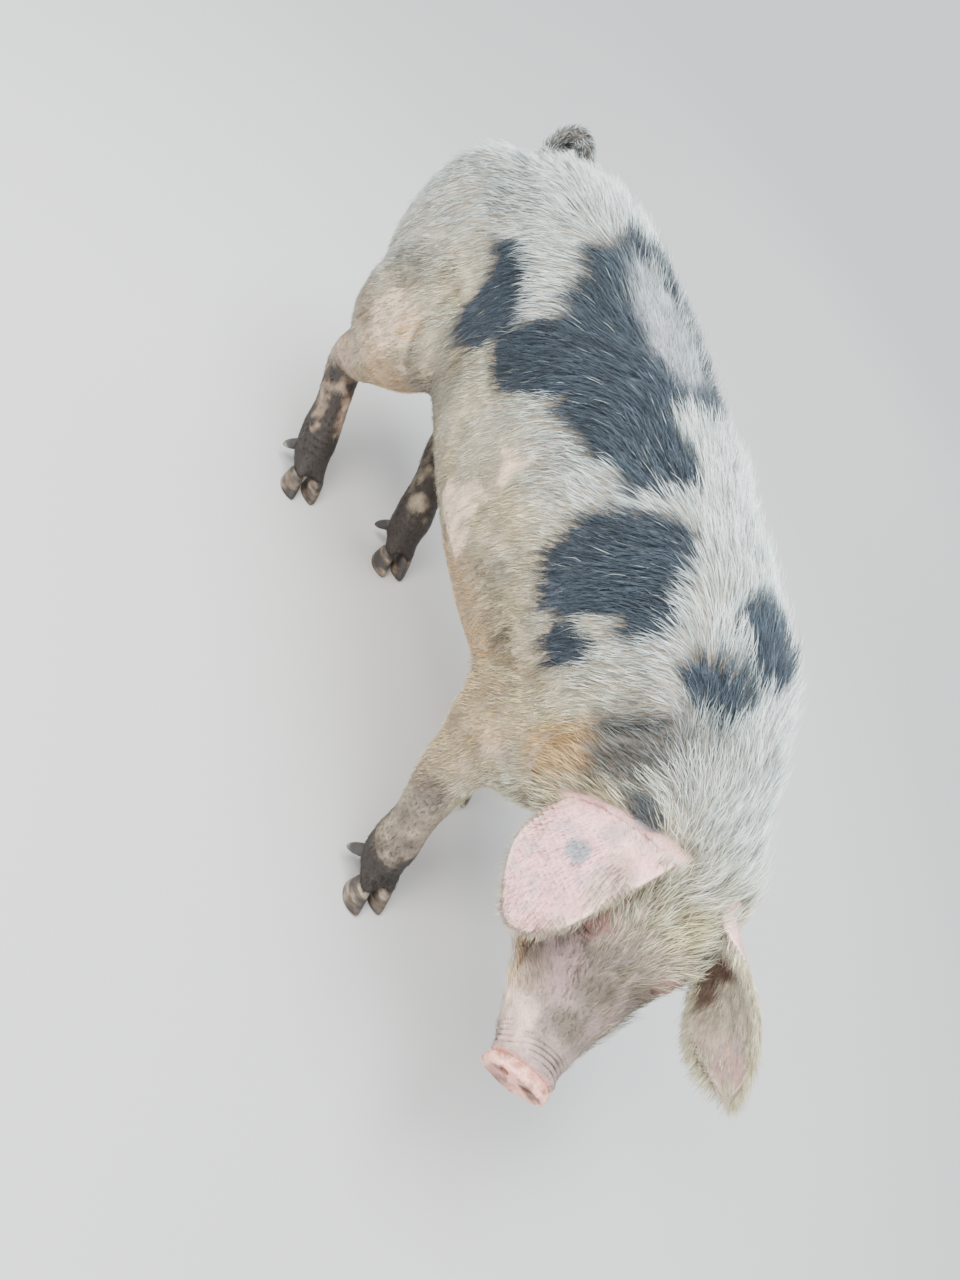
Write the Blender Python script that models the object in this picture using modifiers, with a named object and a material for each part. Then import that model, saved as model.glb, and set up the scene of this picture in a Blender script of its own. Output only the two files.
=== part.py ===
"""A standing domestic sow, life size, as a still display model. Metres, +Z up, head towards -Y, her right side at -X."""

import math
import random

import bmesh
import bpy
import numpy as np
from mathutils import Matrix, Vector
from mathutils.bvhtree import BVHTree

# Driving dimensions of the animal, in metres.
HEAD_LENGTH = 0.385
EYE_RADIUS = 0.0125
TAIL_RADIUS = 0.0185
TAIL_CURL_RADIUS = 0.047
TOE_LENGTH = 0.062
DEWCLAW_LENGTH = 0.034
TEATS_EACH_SIDE = 7

# Working sizes. GAP parts two nodes that touch.
GAP = 0.0003
VOXEL = 0.005

LEFT = Vector((1.0, 0.0, 0.0))
UP = Vector((0.0, 0.0, 1.0))
FORWARD = Vector((0.0, -1.0, 0.0))

# The head: where the poll is, and how the head is turned to the right, lowered and leaned.
POLL = Vector((-0.026, -0.587, 0.599))
HEAD_TURN = math.radians(41.6)
HEAD_PITCH = math.radians(34.9)
HEAD_LEAN = math.radians(8.3)

# A row for each leg: hip or shoulder, elbow or stifle, knee or hock, fetlock and foot.
LEGS = {
    "leg_front_right": ((-0.128, -0.340, 0.56), (-0.150, -0.275, 0.41), (-0.154, -0.335, 0.225),
                        (-0.155, -0.392, 0.095), (-0.156, -0.440, 0.0)),
    "leg_front_left": ((0.128, -0.320, 0.56), (0.142, -0.255, 0.41), (0.118, -0.262, 0.225),
                       (0.098, -0.222, 0.095), (0.092, -0.240, 0.0)),
    "leg_hind_right": ((-0.110, 0.52, 0.60), (-0.155, 0.455, 0.43), (-0.168, 0.568, 0.235),
                       (-0.166, 0.470, 0.095), (-0.165, 0.410, 0.0)),
    "leg_hind_left": ((0.110, 0.50, 0.60), (0.125, 0.390, 0.43), (0.075, 0.455, 0.230),
                      (0.045, 0.325, 0.095), (0.040, 0.270, 0.0)),
}

# The trunk: distance back along Y, top, underside, half width and the section's power.
TRUNK_ROWS = (
    (0.765, 0.640, 0.560, 0.030, 1.00),
    (0.740, 0.695, 0.500, 0.085, 0.95),
    (0.680, 0.750, 0.440, 0.140, 0.90),
    (0.575, 0.797, 0.400, 0.180, 0.88),
    (0.430, 0.819, 0.385, 0.198, 0.86),
    (0.240, 0.819, 0.345, 0.212, 0.86),
    (0.040, 0.809, 0.322, 0.230, 0.86),
    (-0.140, 0.795, 0.325, 0.226, 0.86),
    (-0.300, 0.780, 0.350, 0.206, 0.88),
    (-0.410, 0.732, 0.385, 0.154, 0.90),
    (-0.490, 0.680, 0.440, 0.102, 0.95),
)

# The head from back to front: ahead of the poll, top line, underside, half width, power, and how narrow the top is.
HEAD_ROWS = (
    (-0.075, -0.050, -0.200, 0.085, 0.95, 0.05),
    (-0.035, -0.016, -0.228, 0.108, 0.90, 0.05),
    (0.015, 0.000, -0.242, 0.120, 0.85, 0.06),
    (0.065, -0.006, -0.248, 0.120, 0.83, 0.10),
    (0.115, -0.024, -0.246, 0.112, 0.84, 0.20),
    (0.165, -0.050, -0.238, 0.099, 0.86, 0.32),
    (0.215, -0.070, -0.222, 0.085, 0.86, 0.38),
    (0.265, -0.080, -0.202, 0.072, 0.84, 0.34),
    (0.310, -0.082, -0.182, 0.059, 0.82, 0.24),
    (0.345, -0.080, -0.166, 0.050, 0.82, 0.12),
    (0.364, -0.080, -0.156, 0.047, 0.82, 0.05),
)
JAW_ROWS = (
    (0.040, -0.150, -0.264, 0.102, 0.90, -0.10),
    (0.110, -0.156, -0.262, 0.100, 0.88, -0.10),
    (0.170, -0.162, -0.252, 0.088, 0.86, -0.10),
    (0.230, -0.168, -0.236, 0.068, 0.86, -0.10),
    (0.285, -0.170, -0.216, 0.047, 0.86, -0.10),
    (0.322, -0.170, -0.200, 0.030, 0.90, -0.10),
)
SNOUT_FRONT = HEAD_LENGTH + 0.004
SNOUT_CENTRE = -0.116
SNOUT_HALF_WIDTH = 0.054
SNOUT_HALF_HEIGHT = 0.041
MOUTH_GROOVE = 0.0032

# Each ear: its root and tip in the head's frame, which way its back faces there, how much its rear lobe widens and
# how tightly it curls.
EARS = {
    "ear_right": ((-0.068, -0.054, 0.014), (-0.166, 0.222, -0.074), (-0.40, 0.02, 0.92), 0.26, 0.70),
    "ear_left": ((0.078, 0.026, -0.030), (0.206, 0.203, -0.010), (0.80, -0.60, 0.02), 0.0, 1.0),
}
# The ear's outline: share of its length, rear width, front width, how far round it curls in degrees, and lift.
EAR_ROWS = (
    (-0.10, 0.046, 0.042, 220, 0.000),
    (0.04, 0.052, 0.046, 190, 0.006),
    (0.22, 0.068, 0.048, 116, 0.018),
    (0.42, 0.091, 0.050, 82, 0.024),
    (0.61, 0.102, 0.052, 64, 0.021),
    (0.79, 0.088, 0.050, 50, 0.011),
    (0.915, 0.052, 0.040, 42, 0.003),
    (1.00, 0.010, 0.014, 36, 0.000),
)
EAR_THICKNESS = 0.005

# Each surface's colour and roughness, by the word that its nodes' names hold. The first that fits counts.
SURFACES = (
    ("horn_dark", ("dewclaw",), (0.075, 0.062, 0.052), 0.45),
    ("horn_pale", ("toe",), (0.23, 0.16, 0.10), 0.45),
    ("eyeball", ("eye",), (0.030, 0.014, 0.008), 0.12),
    ("ear_skin", ("ear_",), (0.66, 0.42, 0.38), 0.60),
    ("leg_coat", ("leg",), (0.40, 0.33, 0.27), 0.80),
    ("tail_skin", ("tail",), (0.24, 0.23, 0.24), 0.75),
    ("body_coat", ("torso", "neck", "head"), (0.47, 0.43, 0.34), 0.80),
)


# A lock of bristles: share of its length, height (below the skin where negative), and breadth. Then how deep its root
# is sunk, how high its ridge stands against its half width, where the point ends and how far a lock may stray.
LOCK_ROWS = (
    (0.00, -1.0, 0.80),
    (0.30, 0.70, 1.00),
    (0.62, 1.00, 0.78),
    (0.86, 0.80, 0.40),
)
LOCK_SINK = 0.009
LOCK_RIDGE = 0.42
LOCK_TIP_HEIGHT = 0.45
FRINGE_INSET = 0.012
FRINGE_LENGTH = 0.042
LOCK_STRAY = 0.22
SPINE_STATIONS = 20
SPINE_LOCKS_FROM = -0.400
SPINE_LOCK_STEP = 0.053
# Rows of locks on the forehead: how far ahead of the poll, how many, and from where to where across.
HEAD_LOCK_ROWS = (
    (0.026, 3, -0.020, 0.022),
    (0.056, 4, -0.034, 0.028),
    (0.086, 4, -0.044, 0.032),
    (0.116, 4, -0.040, 0.036),
)


def head_axes():
    """The head's own forward, left and up directions."""
    turned = Matrix.Rotation(-HEAD_TURN, 3, "Z") @ FORWARD
    left = UP.cross(turned).normalized()
    forward = (turned * math.cos(HEAD_PITCH) - UP * math.sin(HEAD_PITCH)).normalized()
    up = forward.cross(left)
    lean = Matrix.Rotation(HEAD_LEAN, 3, forward)
    return forward, lean @ left, lean @ up


HEAD_FORWARD, HEAD_LEFT, HEAD_UP = head_axes()
HEAD_AXES = (HEAD_LEFT, HEAD_FORWARD, HEAD_UP)


def head_way(across, ahead, above):
    return HEAD_LEFT * across + HEAD_FORWARD * ahead + HEAD_UP * above


def on_head(across, ahead, above):
    """A place in the head's own frame, from the poll: to the left, forward and up."""
    return POLL + head_way(across, ahead, above)


def clear_scene():
    for obj in list(bpy.data.objects):
        bpy.data.objects.remove(obj)


def new_collection(name):
    collection = bpy.data.collections.new(name)
    bpy.context.scene.collection.children.link(collection)
    return collection


def new_object(name, mesh):
    obj = bpy.data.objects.new(name, mesh)
    bpy.context.scene.collection.objects.link(obj)
    return obj


def mesh_from(name, points, faces):
    mesh = bpy.data.meshes.new(name)
    mesh.from_pydata([tuple(p) for p in points], [], faces)
    mesh.update()
    return mesh


def outward(mesh):
    bm = bmesh.new()
    bm.from_mesh(mesh)
    bmesh.ops.recalc_face_normals(bm, faces=bm.faces)
    bm.to_mesh(mesh)
    bm.free()


def evaluated_mesh(obj):
    """The object's mesh with its modifiers applied, as a new mesh."""
    bpy.context.view_layer.update()
    graph = bpy.context.evaluated_depsgraph_get()
    return bpy.data.meshes.new_from_object(obj.evaluated_get(graph))


def apply_modifiers(obj):
    mesh = evaluated_mesh(obj)
    obj.modifiers.clear()
    old = obj.data
    obj.data = mesh
    bpy.data.meshes.remove(old)
    return obj


def duplicate(obj, name):
    return new_object(name, obj.data.copy())


def drop(*objects):
    for obj in objects:
        bpy.data.objects.remove(obj)


def keep_largest(obj):
    """Leaves only the largest closed surface of the mesh."""
    bm = bmesh.new()
    bm.from_mesh(obj.data)
    left = set(bm.faces)
    pieces = []
    while left:
        stack = [left.pop()]
        piece = list(stack)
        while stack:
            face = stack.pop()
            for edge in face.edges:
                for other in edge.link_faces:
                    if other in left:
                        left.remove(other)
                        stack.append(other)
                        piece.append(other)
        pieces.append(piece)
    if len(pieces) > 1:
        pieces.sort(key=lambda piece: sum(face.calc_area() for face in piece))
        extra = [face for piece in pieces[:-1] for face in piece]
        bmesh.ops.delete(bm, geom=extra, context="FACES")
        loose = [vert for vert in bm.verts if not vert.link_faces]
        bmesh.ops.delete(bm, geom=loose, context="VERTS")
    bm.to_mesh(obj.data)
    bm.free()
    return obj


def combine(obj, other, operation, solver="MANIFOLD"):
    """A Boolean on obj with other, applied. Other stays."""
    step = obj.modifiers.new(operation.lower(), "BOOLEAN")
    step.operation = operation
    step.object = other
    step.solver = solver
    return apply_modifiers(obj)


def grown(obj, name, distance=GAP):
    """A copy of the object whose surface lies this much further out."""
    copy = duplicate(obj, name)
    step = copy.modifiers.new("grow", "DISPLACE")
    step.mid_level = 0.0
    step.strength = distance
    return apply_modifiers(copy)


def cut_clear(obj, carrier):
    """Cuts obj back to the carrier's surface, a gap away from it, and keeps the part outside."""
    shell = grown(carrier, "shell")
    combine(obj, shell, "DIFFERENCE")
    drop(shell)
    return keep_largest(obj)


def decimated(obj, triangles):
    obj.data.calc_loop_triangles()
    step = obj.modifiers.new("fewer", "DECIMATE")
    step.ratio = triangles / len(obj.data.loop_triangles)
    step.use_collapse_triangulate = True
    return apply_modifiers(obj)


def curve_through(rows, per_span):
    """Rows of numbers as a smooth curve through them all, by the Catmull-Rom rule."""
    rows = np.array(rows, float)
    ends = np.vstack([2 * rows[0] - rows[1], rows, 2 * rows[-1] - rows[-2]])
    out = []
    for i in range(1, len(ends) - 2):
        a, b, c, d = ends[i - 1 : i + 3]
        for k in range(per_span):
            t = k / per_span
            out.append(0.5 * (2 * b + (c - a) * t + (2 * a - 5 * b + 4 * c - d) * t * t
                              + (3 * b - a - 3 * c + d) * t ** 3))
    out.append(rows[-1])
    return np.array(out)


def section(half_width, above, below, power, narrowing, angle):
    """A point of an egg-shaped section: (sideways, upwards)."""
    c, s = math.cos(angle), math.sin(angle)
    across = half_width * math.copysign(abs(c) ** power, c) * (1 - narrowing * s)
    rise = (above if s > 0 else below) * math.copysign(abs(s) ** power, s)
    return across, rise


def tube(name, stations, side, per_span=4, sides=24):
    """A closed tube. A station is (centre, half_width, above, below, power, narrowing)."""
    rows = curve_through([(*s[0], *s[1:]) for s in stations], per_span)
    centres = rows[:, :3]
    travel = np.gradient(centres, axis=0)
    points, faces = [], []
    for centre, way, sizes in zip(centres, travel, rows[:, 3:]):
        t = Vector(way).normalized()
        across = (Vector(side) - t * t.dot(Vector(side))).normalized()
        rise = t.cross(across)
        sizes = (*np.maximum(sizes[:4], 0.001), sizes[4])
        for k in range(sides):
            a, u = section(*sizes, 2 * math.pi * k / sides)
            points.append(Vector(centre) + across * a + rise * u)
    rings = len(rows)
    for r in range(rings - 1):
        for k in range(sides):
            j = (k + 1) % sides
            faces.append((r * sides + k, r * sides + j, (r + 1) * sides + j, (r + 1) * sides + k))
    faces.append(tuple(range(sides))[::-1])
    faces.append(tuple((rings - 1) * sides + k for k in range(sides)))
    mesh = mesh_from(name, points, faces)
    outward(mesh)
    return new_object(name, mesh)


def primitive(name, centre, half, axes, make):
    """A primitive of size 1 each way from its centre, scaled by half along the axes and moved to the centre."""
    bm = bmesh.new()
    make(bm)
    turn = Matrix([Vector(a).normalized() for a in axes]).transposed() if axes else Matrix.Identity(3)
    place = Matrix.Translation(Vector(centre)) @ turn.to_4x4() @ Matrix.Diagonal((*half, 1.0))
    bmesh.ops.transform(bm, matrix=place, verts=bm.verts)
    mesh = bpy.data.meshes.new(name)
    bm.to_mesh(mesh)
    bm.free()
    outward(mesh)
    return new_object(name, mesh)


def ball(name, centre, radii, axes=None, segments=20, rings=12):
    def make(bm):
        bmesh.ops.create_uvsphere(bm, u_segments=segments, v_segments=rings, radius=1.0)
    return primitive(name, centre, radii, axes, make)


def box(name, centre, half, axes=None):
    def make(bm):
        bmesh.ops.create_cube(bm, size=2.0)
    return primitive(name, centre, half, axes, make)


def bead(name, points, radii, resolution=2):
    """A round bar along the points, as a closed mesh."""
    curve = bpy.data.curves.new(name, "CURVE")
    curve.dimensions = "3D"
    curve.bevel_depth = 1.0
    curve.bevel_resolution = resolution
    curve.use_fill_caps = True
    line = curve.splines.new("POLY")
    line.points.add(len(points) - 1)
    for point, place, radius in zip(line.points, points, radii):
        point.co = (*place, 1.0)
        point.radius = radius
    guide = new_object(name + "_path", curve)
    mesh = evaluated_mesh(guide)
    drop(guide)
    bm = bmesh.new()
    bm.from_mesh(mesh)
    bmesh.ops.remove_doubles(bm, verts=bm.verts, dist=1e-6)
    bmesh.ops.recalc_face_normals(bm, faces=bm.faces)
    bm.to_mesh(mesh)
    bm.free()
    return new_object(name, mesh)


def trunk():
    stations = []
    for y, top, low, half_width, power in TRUNK_ROWS:
        middle = low + 0.46 * (top - low)
        stations.append(((0.0, y, middle), half_width, top - middle, middle - low, power, 0.0))
    return tube("trunk", stations, LEFT, per_span=4, sides=40)


def head_tube(name, rows):
    stations = []
    for ahead, top, low, half_width, power, narrowing in rows:
        middle = low + 0.5 * (top - low)
        centre = on_head(0.0, ahead, middle)
        stations.append((centre, half_width, top - middle, middle - low, power, narrowing))
    return tube(name, stations, HEAD_LEFT, per_span=4, sides=36)


def snout_disc():
    half_thickness = 0.5 * (SNOUT_FRONT - HEAD_ROWS[-1][0]) + 0.002
    centre = on_head(0.0, SNOUT_FRONT - half_thickness, SNOUT_CENTRE)

    def make(bm):
        bmesh.ops.create_cone(bm, cap_ends=True, segments=32, radius1=1.0, radius2=1.0, depth=2.0)
    half = (SNOUT_HALF_WIDTH, SNOUT_HALF_HEIGHT, half_thickness)
    return primitive("snout_disc", centre, half, (HEAD_LEFT, HEAD_UP, HEAD_FORWARD), make)


def neck_form():
    stations = [
        ((0.0, -0.16, 0.590), 0.195, 0.200, 0.200, 0.9, 0.0),
        ((0.0, -0.30, 0.580), 0.184, 0.192, 0.195, 0.9, 0.0),
        ((-0.008, -0.42, 0.560), 0.148, 0.162, 0.172, 0.9, 0.0),
        ((-0.004, -0.50, 0.530), 0.125, 0.132, 0.148, 0.9, 0.0),
        (on_head(0.0, 0.0, -0.115), 0.112, 0.118, 0.122, 0.9, 0.0),
        (on_head(0.0, 0.05, -0.120), 0.095, 0.105, 0.110, 0.9, 0.0),
    ]
    return tube("neck_form", stations, LEFT, per_span=4, sides=32)


def front_leg(name):
    shoulder, elbow, knee, fetlock, foot = (Vector(p) for p in LEGS[name])
    stations = [
        (shoulder, 0.070, 0.105, 0.110, 0.95, 0.0),
        (elbow, 0.058, 0.088, 0.086, 0.95, 0.0),
        (elbow.lerp(knee, 0.5), 0.046, 0.062, 0.064, 0.95, 0.0),
        (knee, 0.043, 0.050, 0.048, 0.95, 0.0),
        (knee.lerp(fetlock, 0.5), 0.036, 0.038, 0.042, 0.95, 0.0),
        (fetlock, 0.041, 0.040, 0.046, 0.95, 0.0),
        (foot + Vector((0, 0.028, 0.052)), 0.041, 0.034, 0.038, 0.95, 0.0),
    ]
    return tube(name + "_form", stations, LEFT, per_span=4, sides=20)


def hind_leg(name):
    hip, stifle, hock, fetlock, foot = (Vector(p) for p in LEGS[name])
    stations = [
        (hip, 0.085, 0.160, 0.160, 0.95, 0.0),
        (stifle, 0.070, 0.100, 0.150, 0.95, 0.0),
        (stifle.lerp(hock, 0.55), 0.056, 0.068, 0.090, 0.95, 0.0),
        (hock, 0.038, 0.052, 0.050, 0.95, 0.0),
        (hock.lerp(fetlock, 0.5), 0.034, 0.038, 0.040, 0.95, 0.0),
        (fetlock, 0.039, 0.040, 0.044, 0.95, 0.0),
        (foot + Vector((0, 0.028, 0.052)), 0.040, 0.034, 0.038, 0.95, 0.0),
    ]
    return tube(name + "_form", stations, LEFT, per_span=4, sides=20)


def foot_places(name):
    """Both toes and both dewclaws of a foot: (name, side, centre on the floor)."""
    foot = Vector(LEGS[name][-1])
    rows = []
    for side, word in ((-1, "right"), (1, "left")):
        rows.append((f"{name}_toe_{word}", side, foot + Vector((side * 0.023, 0.0, 0.0))))
    return rows


def muscles():
    """Ellipsoids for the hams, shoulders, cheeks and brows, and the pads over the toes."""
    forms = []
    for side in (-1, 1):
        forms.append(ball("ham", (side * 0.116, 0.588, 0.530), (0.104, 0.195, 0.215)))
        forms.append(ball("buttock", (side * 0.088, 0.660, 0.535), (0.090, 0.142, 0.165)))
        forms.append(ball("shoulder", (side * 0.118, -0.300, 0.530), (0.090, 0.165, 0.225)))
        forms.append(ball("cheek", on_head(side * 0.070, 0.070, -0.160), (0.056, 0.100, 0.085), HEAD_AXES))
        forms.append(ball("brow", on_head(side * 0.060, 0.112, -0.050), (0.030, 0.045, 0.028), HEAD_AXES))
    for name in LEGS:
        side = 1 if "left" in name else -1
        if "hind" in name:
            gaskin = Vector(LEGS[name][1]) + Vector((side * 0.010, 0.112, -0.014))
            forms.append(ball("gaskin", gaskin, (0.074, 0.095, 0.145)))
        for _, _, centre in foot_places(name):
            forms.append(ball("toe_pad", centre + Vector((0, 0.006, 0.048)), (0.0205, 0.032, 0.022)))
    return forms


def fused(name, forms, voxel):
    """All the forms as one closed skin, by a voxel remesh."""
    bm = bmesh.new()
    for form in forms:
        bm.from_mesh(form.data)
    drop(*forms)
    mesh = bpy.data.meshes.new(name)
    bm.to_mesh(mesh)
    bm.free()
    obj = new_object(name, mesh)
    remesh = obj.modifiers.new("remesh", "REMESH")
    remesh.mode = "VOXEL"
    remesh.voxel_size = voxel
    return apply_modifiers(obj)


def relax(obj, rounds, strength=0.5, pull_back=0.0, near=None):
    """Smooths a mesh. pull_back undoes the shrinking, and near is a list of (place, radius) that limits where."""
    mesh = obj.data
    points = np.empty(len(mesh.vertices) * 3)
    mesh.vertices.foreach_get("co", points)
    points = points.reshape(-1, 3)
    edges = np.empty(len(mesh.edges) * 2, np.int64)
    mesh.edges.foreach_get("vertices", edges)
    edges = edges.reshape(-1, 2)
    count = np.bincount(edges.ravel(), minlength=len(points))[:, None]
    weight = np.ones((len(points), 1))
    if near:
        weight[:] = 0.0
        for place, radius in near:
            away = np.linalg.norm(points - np.array(place), axis=1)[:, None] / radius
            weight = np.maximum(weight, np.exp(-away ** 2))
    for _ in range(rounds):
        for step in (strength, -pull_back):
            if not step:
                continue
            total = np.zeros_like(points)
            for axis in range(3):
                total[:, axis] = (np.bincount(edges[:, 0], points[edges[:, 1], axis], len(points))
                                  + np.bincount(edges[:, 1], points[edges[:, 0], axis], len(points)))
            points = points + weight * step * (total / count - points)
    mesh.vertices.foreach_set("co", points.astype(np.float32).ravel())
    mesh.update()
    return obj


def flesh():
    """Trunk, neck, head and legs as one body."""
    forms = [trunk(), neck_form(), head_tube("head_form", HEAD_ROWS), head_tube("jaw_form", JAW_ROWS)]
    forms += [snout_disc()] + muscles()
    forms += [front_leg(n) if "front" in n else hind_leg(n) for n in LEGS]
    body = fused("flesh", forms, VOXEL)
    joints = []
    for hip, elbow, _, _, foot in LEGS.values():
        joints.append((hip, 0.20))
        joints.append((elbow, 0.11))
        joints.append((Vector(foot) + UP * 0.06, 0.045))
    for side in (-1, 1):
        joints.append(((side * 0.12, -0.32, 0.72), 0.17))
    joints.append(((0.0, -0.44, 0.60), 0.22))
    joints.append((on_head(0.0, -0.03, -0.10), 0.12))
    joints.append(((0.0, 0.66, 0.60), 0.16))
    relax(body, 160, near=joints)
    relax(body, 14, 0.5, 0.52)
    return body


def surface_of(obj):
    obj.data.calc_loop_triangles()
    points = [v.co for v in obj.data.vertices]
    return BVHTree.FromPolygons(points, [t.vertices for t in obj.data.loop_triangles])


def box_from(low, high, name, grow=0.0, axes=None, origin=Vector((0, 0, 0))):
    """A box between two corners given along the axes from the origin."""
    low, high = Vector(low), Vector(high)
    middle = (low + high) / 2
    half = (high - low) / 2 + Vector((grow, grow, grow))
    axes = axes or (LEFT, -FORWARD, UP)
    centre = origin + axes[0] * middle.x + axes[1] * middle.y + axes[2] * middle.z
    return box(name, centre, half, axes)


# Where the head parts from the neck: a place behind the poll, and the way the head lies from there.
NAPE = Vector((-0.02, -0.515, 0.60))
NAPE_WAY = Vector((-0.38, -0.89, -0.25)).normalized()
NECK_FRONT = -0.425
# Where each leg parts from the trunk: a place under the belly, how the cut rises outwards and backwards, how far
# the leg's space leans back as it rises, and its reach to the front and the back.
LEG_CUTS = {
    "front": (Vector((0.06, -0.32, 0.345)), 0.45, 0.0, 0.0, -0.26, 0.165),
    "hind": (Vector((0.05, 0.47, 0.395)), 0.35, 0.22, 0.34, -0.125, 0.36),
}


def region(name, grow=0.0):
    """The space of a node that is parted from the body by thin cuts."""
    if name == "head":
        across = UP.cross(NAPE_WAY).normalized()
        axes = (across, NAPE_WAY, NAPE_WAY.cross(across))
        return box_from((-0.30, 0.0, -0.30), (0.30, 0.60, 0.30), name, grow, axes, NAPE)
    if name == "neck":
        return box_from((-0.40, -1.00, 0.375), (0.40, NECK_FRONT, 1.10), name, grow)
    side = 1 if "left" in name else -1
    place, slope, climb, lean, ahead, behind = LEG_CUTS["front" if "front" in name else "hind"]
    axes = (Vector((side, 0.0, slope)), Vector((0.0, 1.0, climb)), Vector((0.0, lean, 1.0)))
    axes = tuple(axis.normalized() for axis in axes)
    origin = Vector((side * place.x, place.y, place.z))
    return box_from((-0.26, ahead, -0.70), (0.35, behind, 0.0), name, grow * 1.2, axes, origin)


def part_out(source, name, minus=()):
    """The share of the source inside a node's region, less the grown regions of the others."""
    obj = duplicate(source, name)
    if name != "torso":
        space = region(name)
        combine(obj, space, "INTERSECT")
        drop(space)
    for other in minus:
        space = region(other, GAP)
        combine(obj, space, "DIFFERENCE")
        drop(space)
    return keep_largest(obj)


def hoof(name, side, centre, length, half_width, height, forward=FORWARD):
    """A claw with a flat sole at z 0, a domed front and a straight inner side."""
    rows = (
        (0.0, 0.46, 1.00, 0.10),
        (0.18, 0.50, 1.02, 0.10),
        (0.62, 0.42, 0.98, 0.02),
        (1.0, 0.34, 0.88, -0.06),
        (1.25, 0.20, 0.60, -0.10),
    )
    sides = 10
    points, faces = [], []
    across = UP.cross(forward).normalized()
    for level, half_length, width, lead in rows:
        for k in range(sides):
            angle = 2 * math.pi * k / sides
            c, s = math.cos(angle), math.sin(angle)
            pointed = 1.0 - 0.35 * max(0.0, s) ** 2
            inner = 0.82 if c * side < 0 else 1.0
            x = c * half_width * width * pointed * inner
            y = s * length * half_length + lead * length
            points.append(Vector(centre) + across * x + forward * y + UP * (level * height))
    for r in range(len(rows) - 1):
        for k in range(sides):
            j = (k + 1) % sides
            faces.append((r * sides + k, r * sides + j, (r + 1) * sides + j, (r + 1) * sides + k))
    faces.append(tuple(range(sides))[::-1])
    faces.append(tuple((len(rows) - 1) * sides + k for k in range(sides)))
    mesh = mesh_from(name, points, faces)
    outward(mesh)
    return new_object(name, mesh)


def dewclaw(name, side, leg):
    """A small claw behind and above the toes, pointing back and down."""
    fetlock, foot = (Vector(p) for p in LEGS[leg][3:5])
    root = fetlock.lerp(foot, 0.42) + Vector((side * 0.028, 0.032, 0.0))
    way = (foot - fetlock).normalized() * 0.55 + Vector((side * 0.30, 0.72, -0.30))
    way.normalize()
    points = [root + way * (DEWCLAW_LENGTH * t) for t in (-0.6, -0.2, 0.2, 0.6, 0.85, 1.0)]
    radii = [0.010, 0.0115, 0.0115, 0.0095, 0.006, 0.0025]
    return bead(name, points, radii, 1)


def ear_frame(name):
    """The ear's root, its way along, front and back directions, and its outline's rows."""
    root, tip, back = (Vector(v) for v in EARS[name][:3])
    widening, tightness = EARS[name][3:]
    root, tip = on_head(*root), on_head(*tip)
    side = 1 if "left" in name else -1
    along = tip - root
    back = head_way(*back)
    back = (back - along * back.dot(along) / along.length_squared).normalized()
    front = along.cross(back).normalized() * side
    rows = []
    for share, rear_width, front_width, curl, lift in curve_through(EAR_ROWS, 2):
        rear_width *= 1.0 + widening * (1.0 - share)
        radius = (rear_width + front_width) / math.radians(curl * tightness)
        rows.append((root + along * share + back * lift, rear_width, front_width, radius))
    return front, back, rows


def ear_place(front, back, row, reach):
    """A place on the ear's sheet, this far forward of the middle of a row, round its curl."""
    middle, _, _, radius = row
    angle = reach / radius
    return middle + front * (radius * math.sin(angle)) - back * (radius * (1 - math.cos(angle)))


def ear(name):
    """A cupped leaf, rolled into a shell at its root and flattening towards the tip."""
    front, back, rows = ear_frame(name)
    steps = 8
    bm = bmesh.new()
    grid = []
    for row in rows:
        _, rear_width, front_width, _ = row
        wide = rear_width + front_width
        reaches = [-rear_width + wide * k / steps for k in range(steps + 1)]
        grid.append([bm.verts.new(ear_place(front, back, row, reach)) for reach in reaches])
    for a, b in zip(grid, grid[1:]):
        for k in range(steps):
            bm.faces.new((a[k], a[k + 1], b[k + 1], b[k]))
    bmesh.ops.recalc_face_normals(bm, faces=bm.faces)
    mesh = bpy.data.meshes.new(name)
    bm.to_mesh(mesh)
    bm.free()
    obj = new_object(name, mesh)
    shell = obj.modifiers.new("thickness", "SOLIDIFY")
    shell.thickness = EAR_THICKNESS
    shell.offset = 0.0
    shell.use_even_offset = True
    apply_modifiers(obj)
    outward(obj.data)
    return obj


def add_fringe(obj, edge_side, rows_with_fringe, chance):
    """Locks along the ear's front edge (1) or rear edge (-1), standing out of it and sweeping towards its tip."""
    front, back, rows = ear_frame(obj.name)
    for k in rows_with_fringe:
        width = rows[k][2] if edge_side > 0 else rows[k][1]
        place = ear_place(front, back, rows[k], edge_side * (width - FRINGE_INSET))
        towards_tip = (rows[k + 1][0] - rows[k][0]).normalized()
        way = front * (edge_side * 0.85) + back * 0.12 + towards_tip * chance.uniform(0.45, 0.8)
        way.normalize()
        out = way.cross(towards_tip).normalized()
        out = out if out.dot(back) > 0 else -out
        form = lock(place, way, out, FRINGE_LENGTH * chance.uniform(0.85, 1.15), 0.020, 0.0012, 0.005, sink=0.0)
        combine(obj, form, "UNION")
        drop(form)
    return keep_largest(obj)


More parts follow.
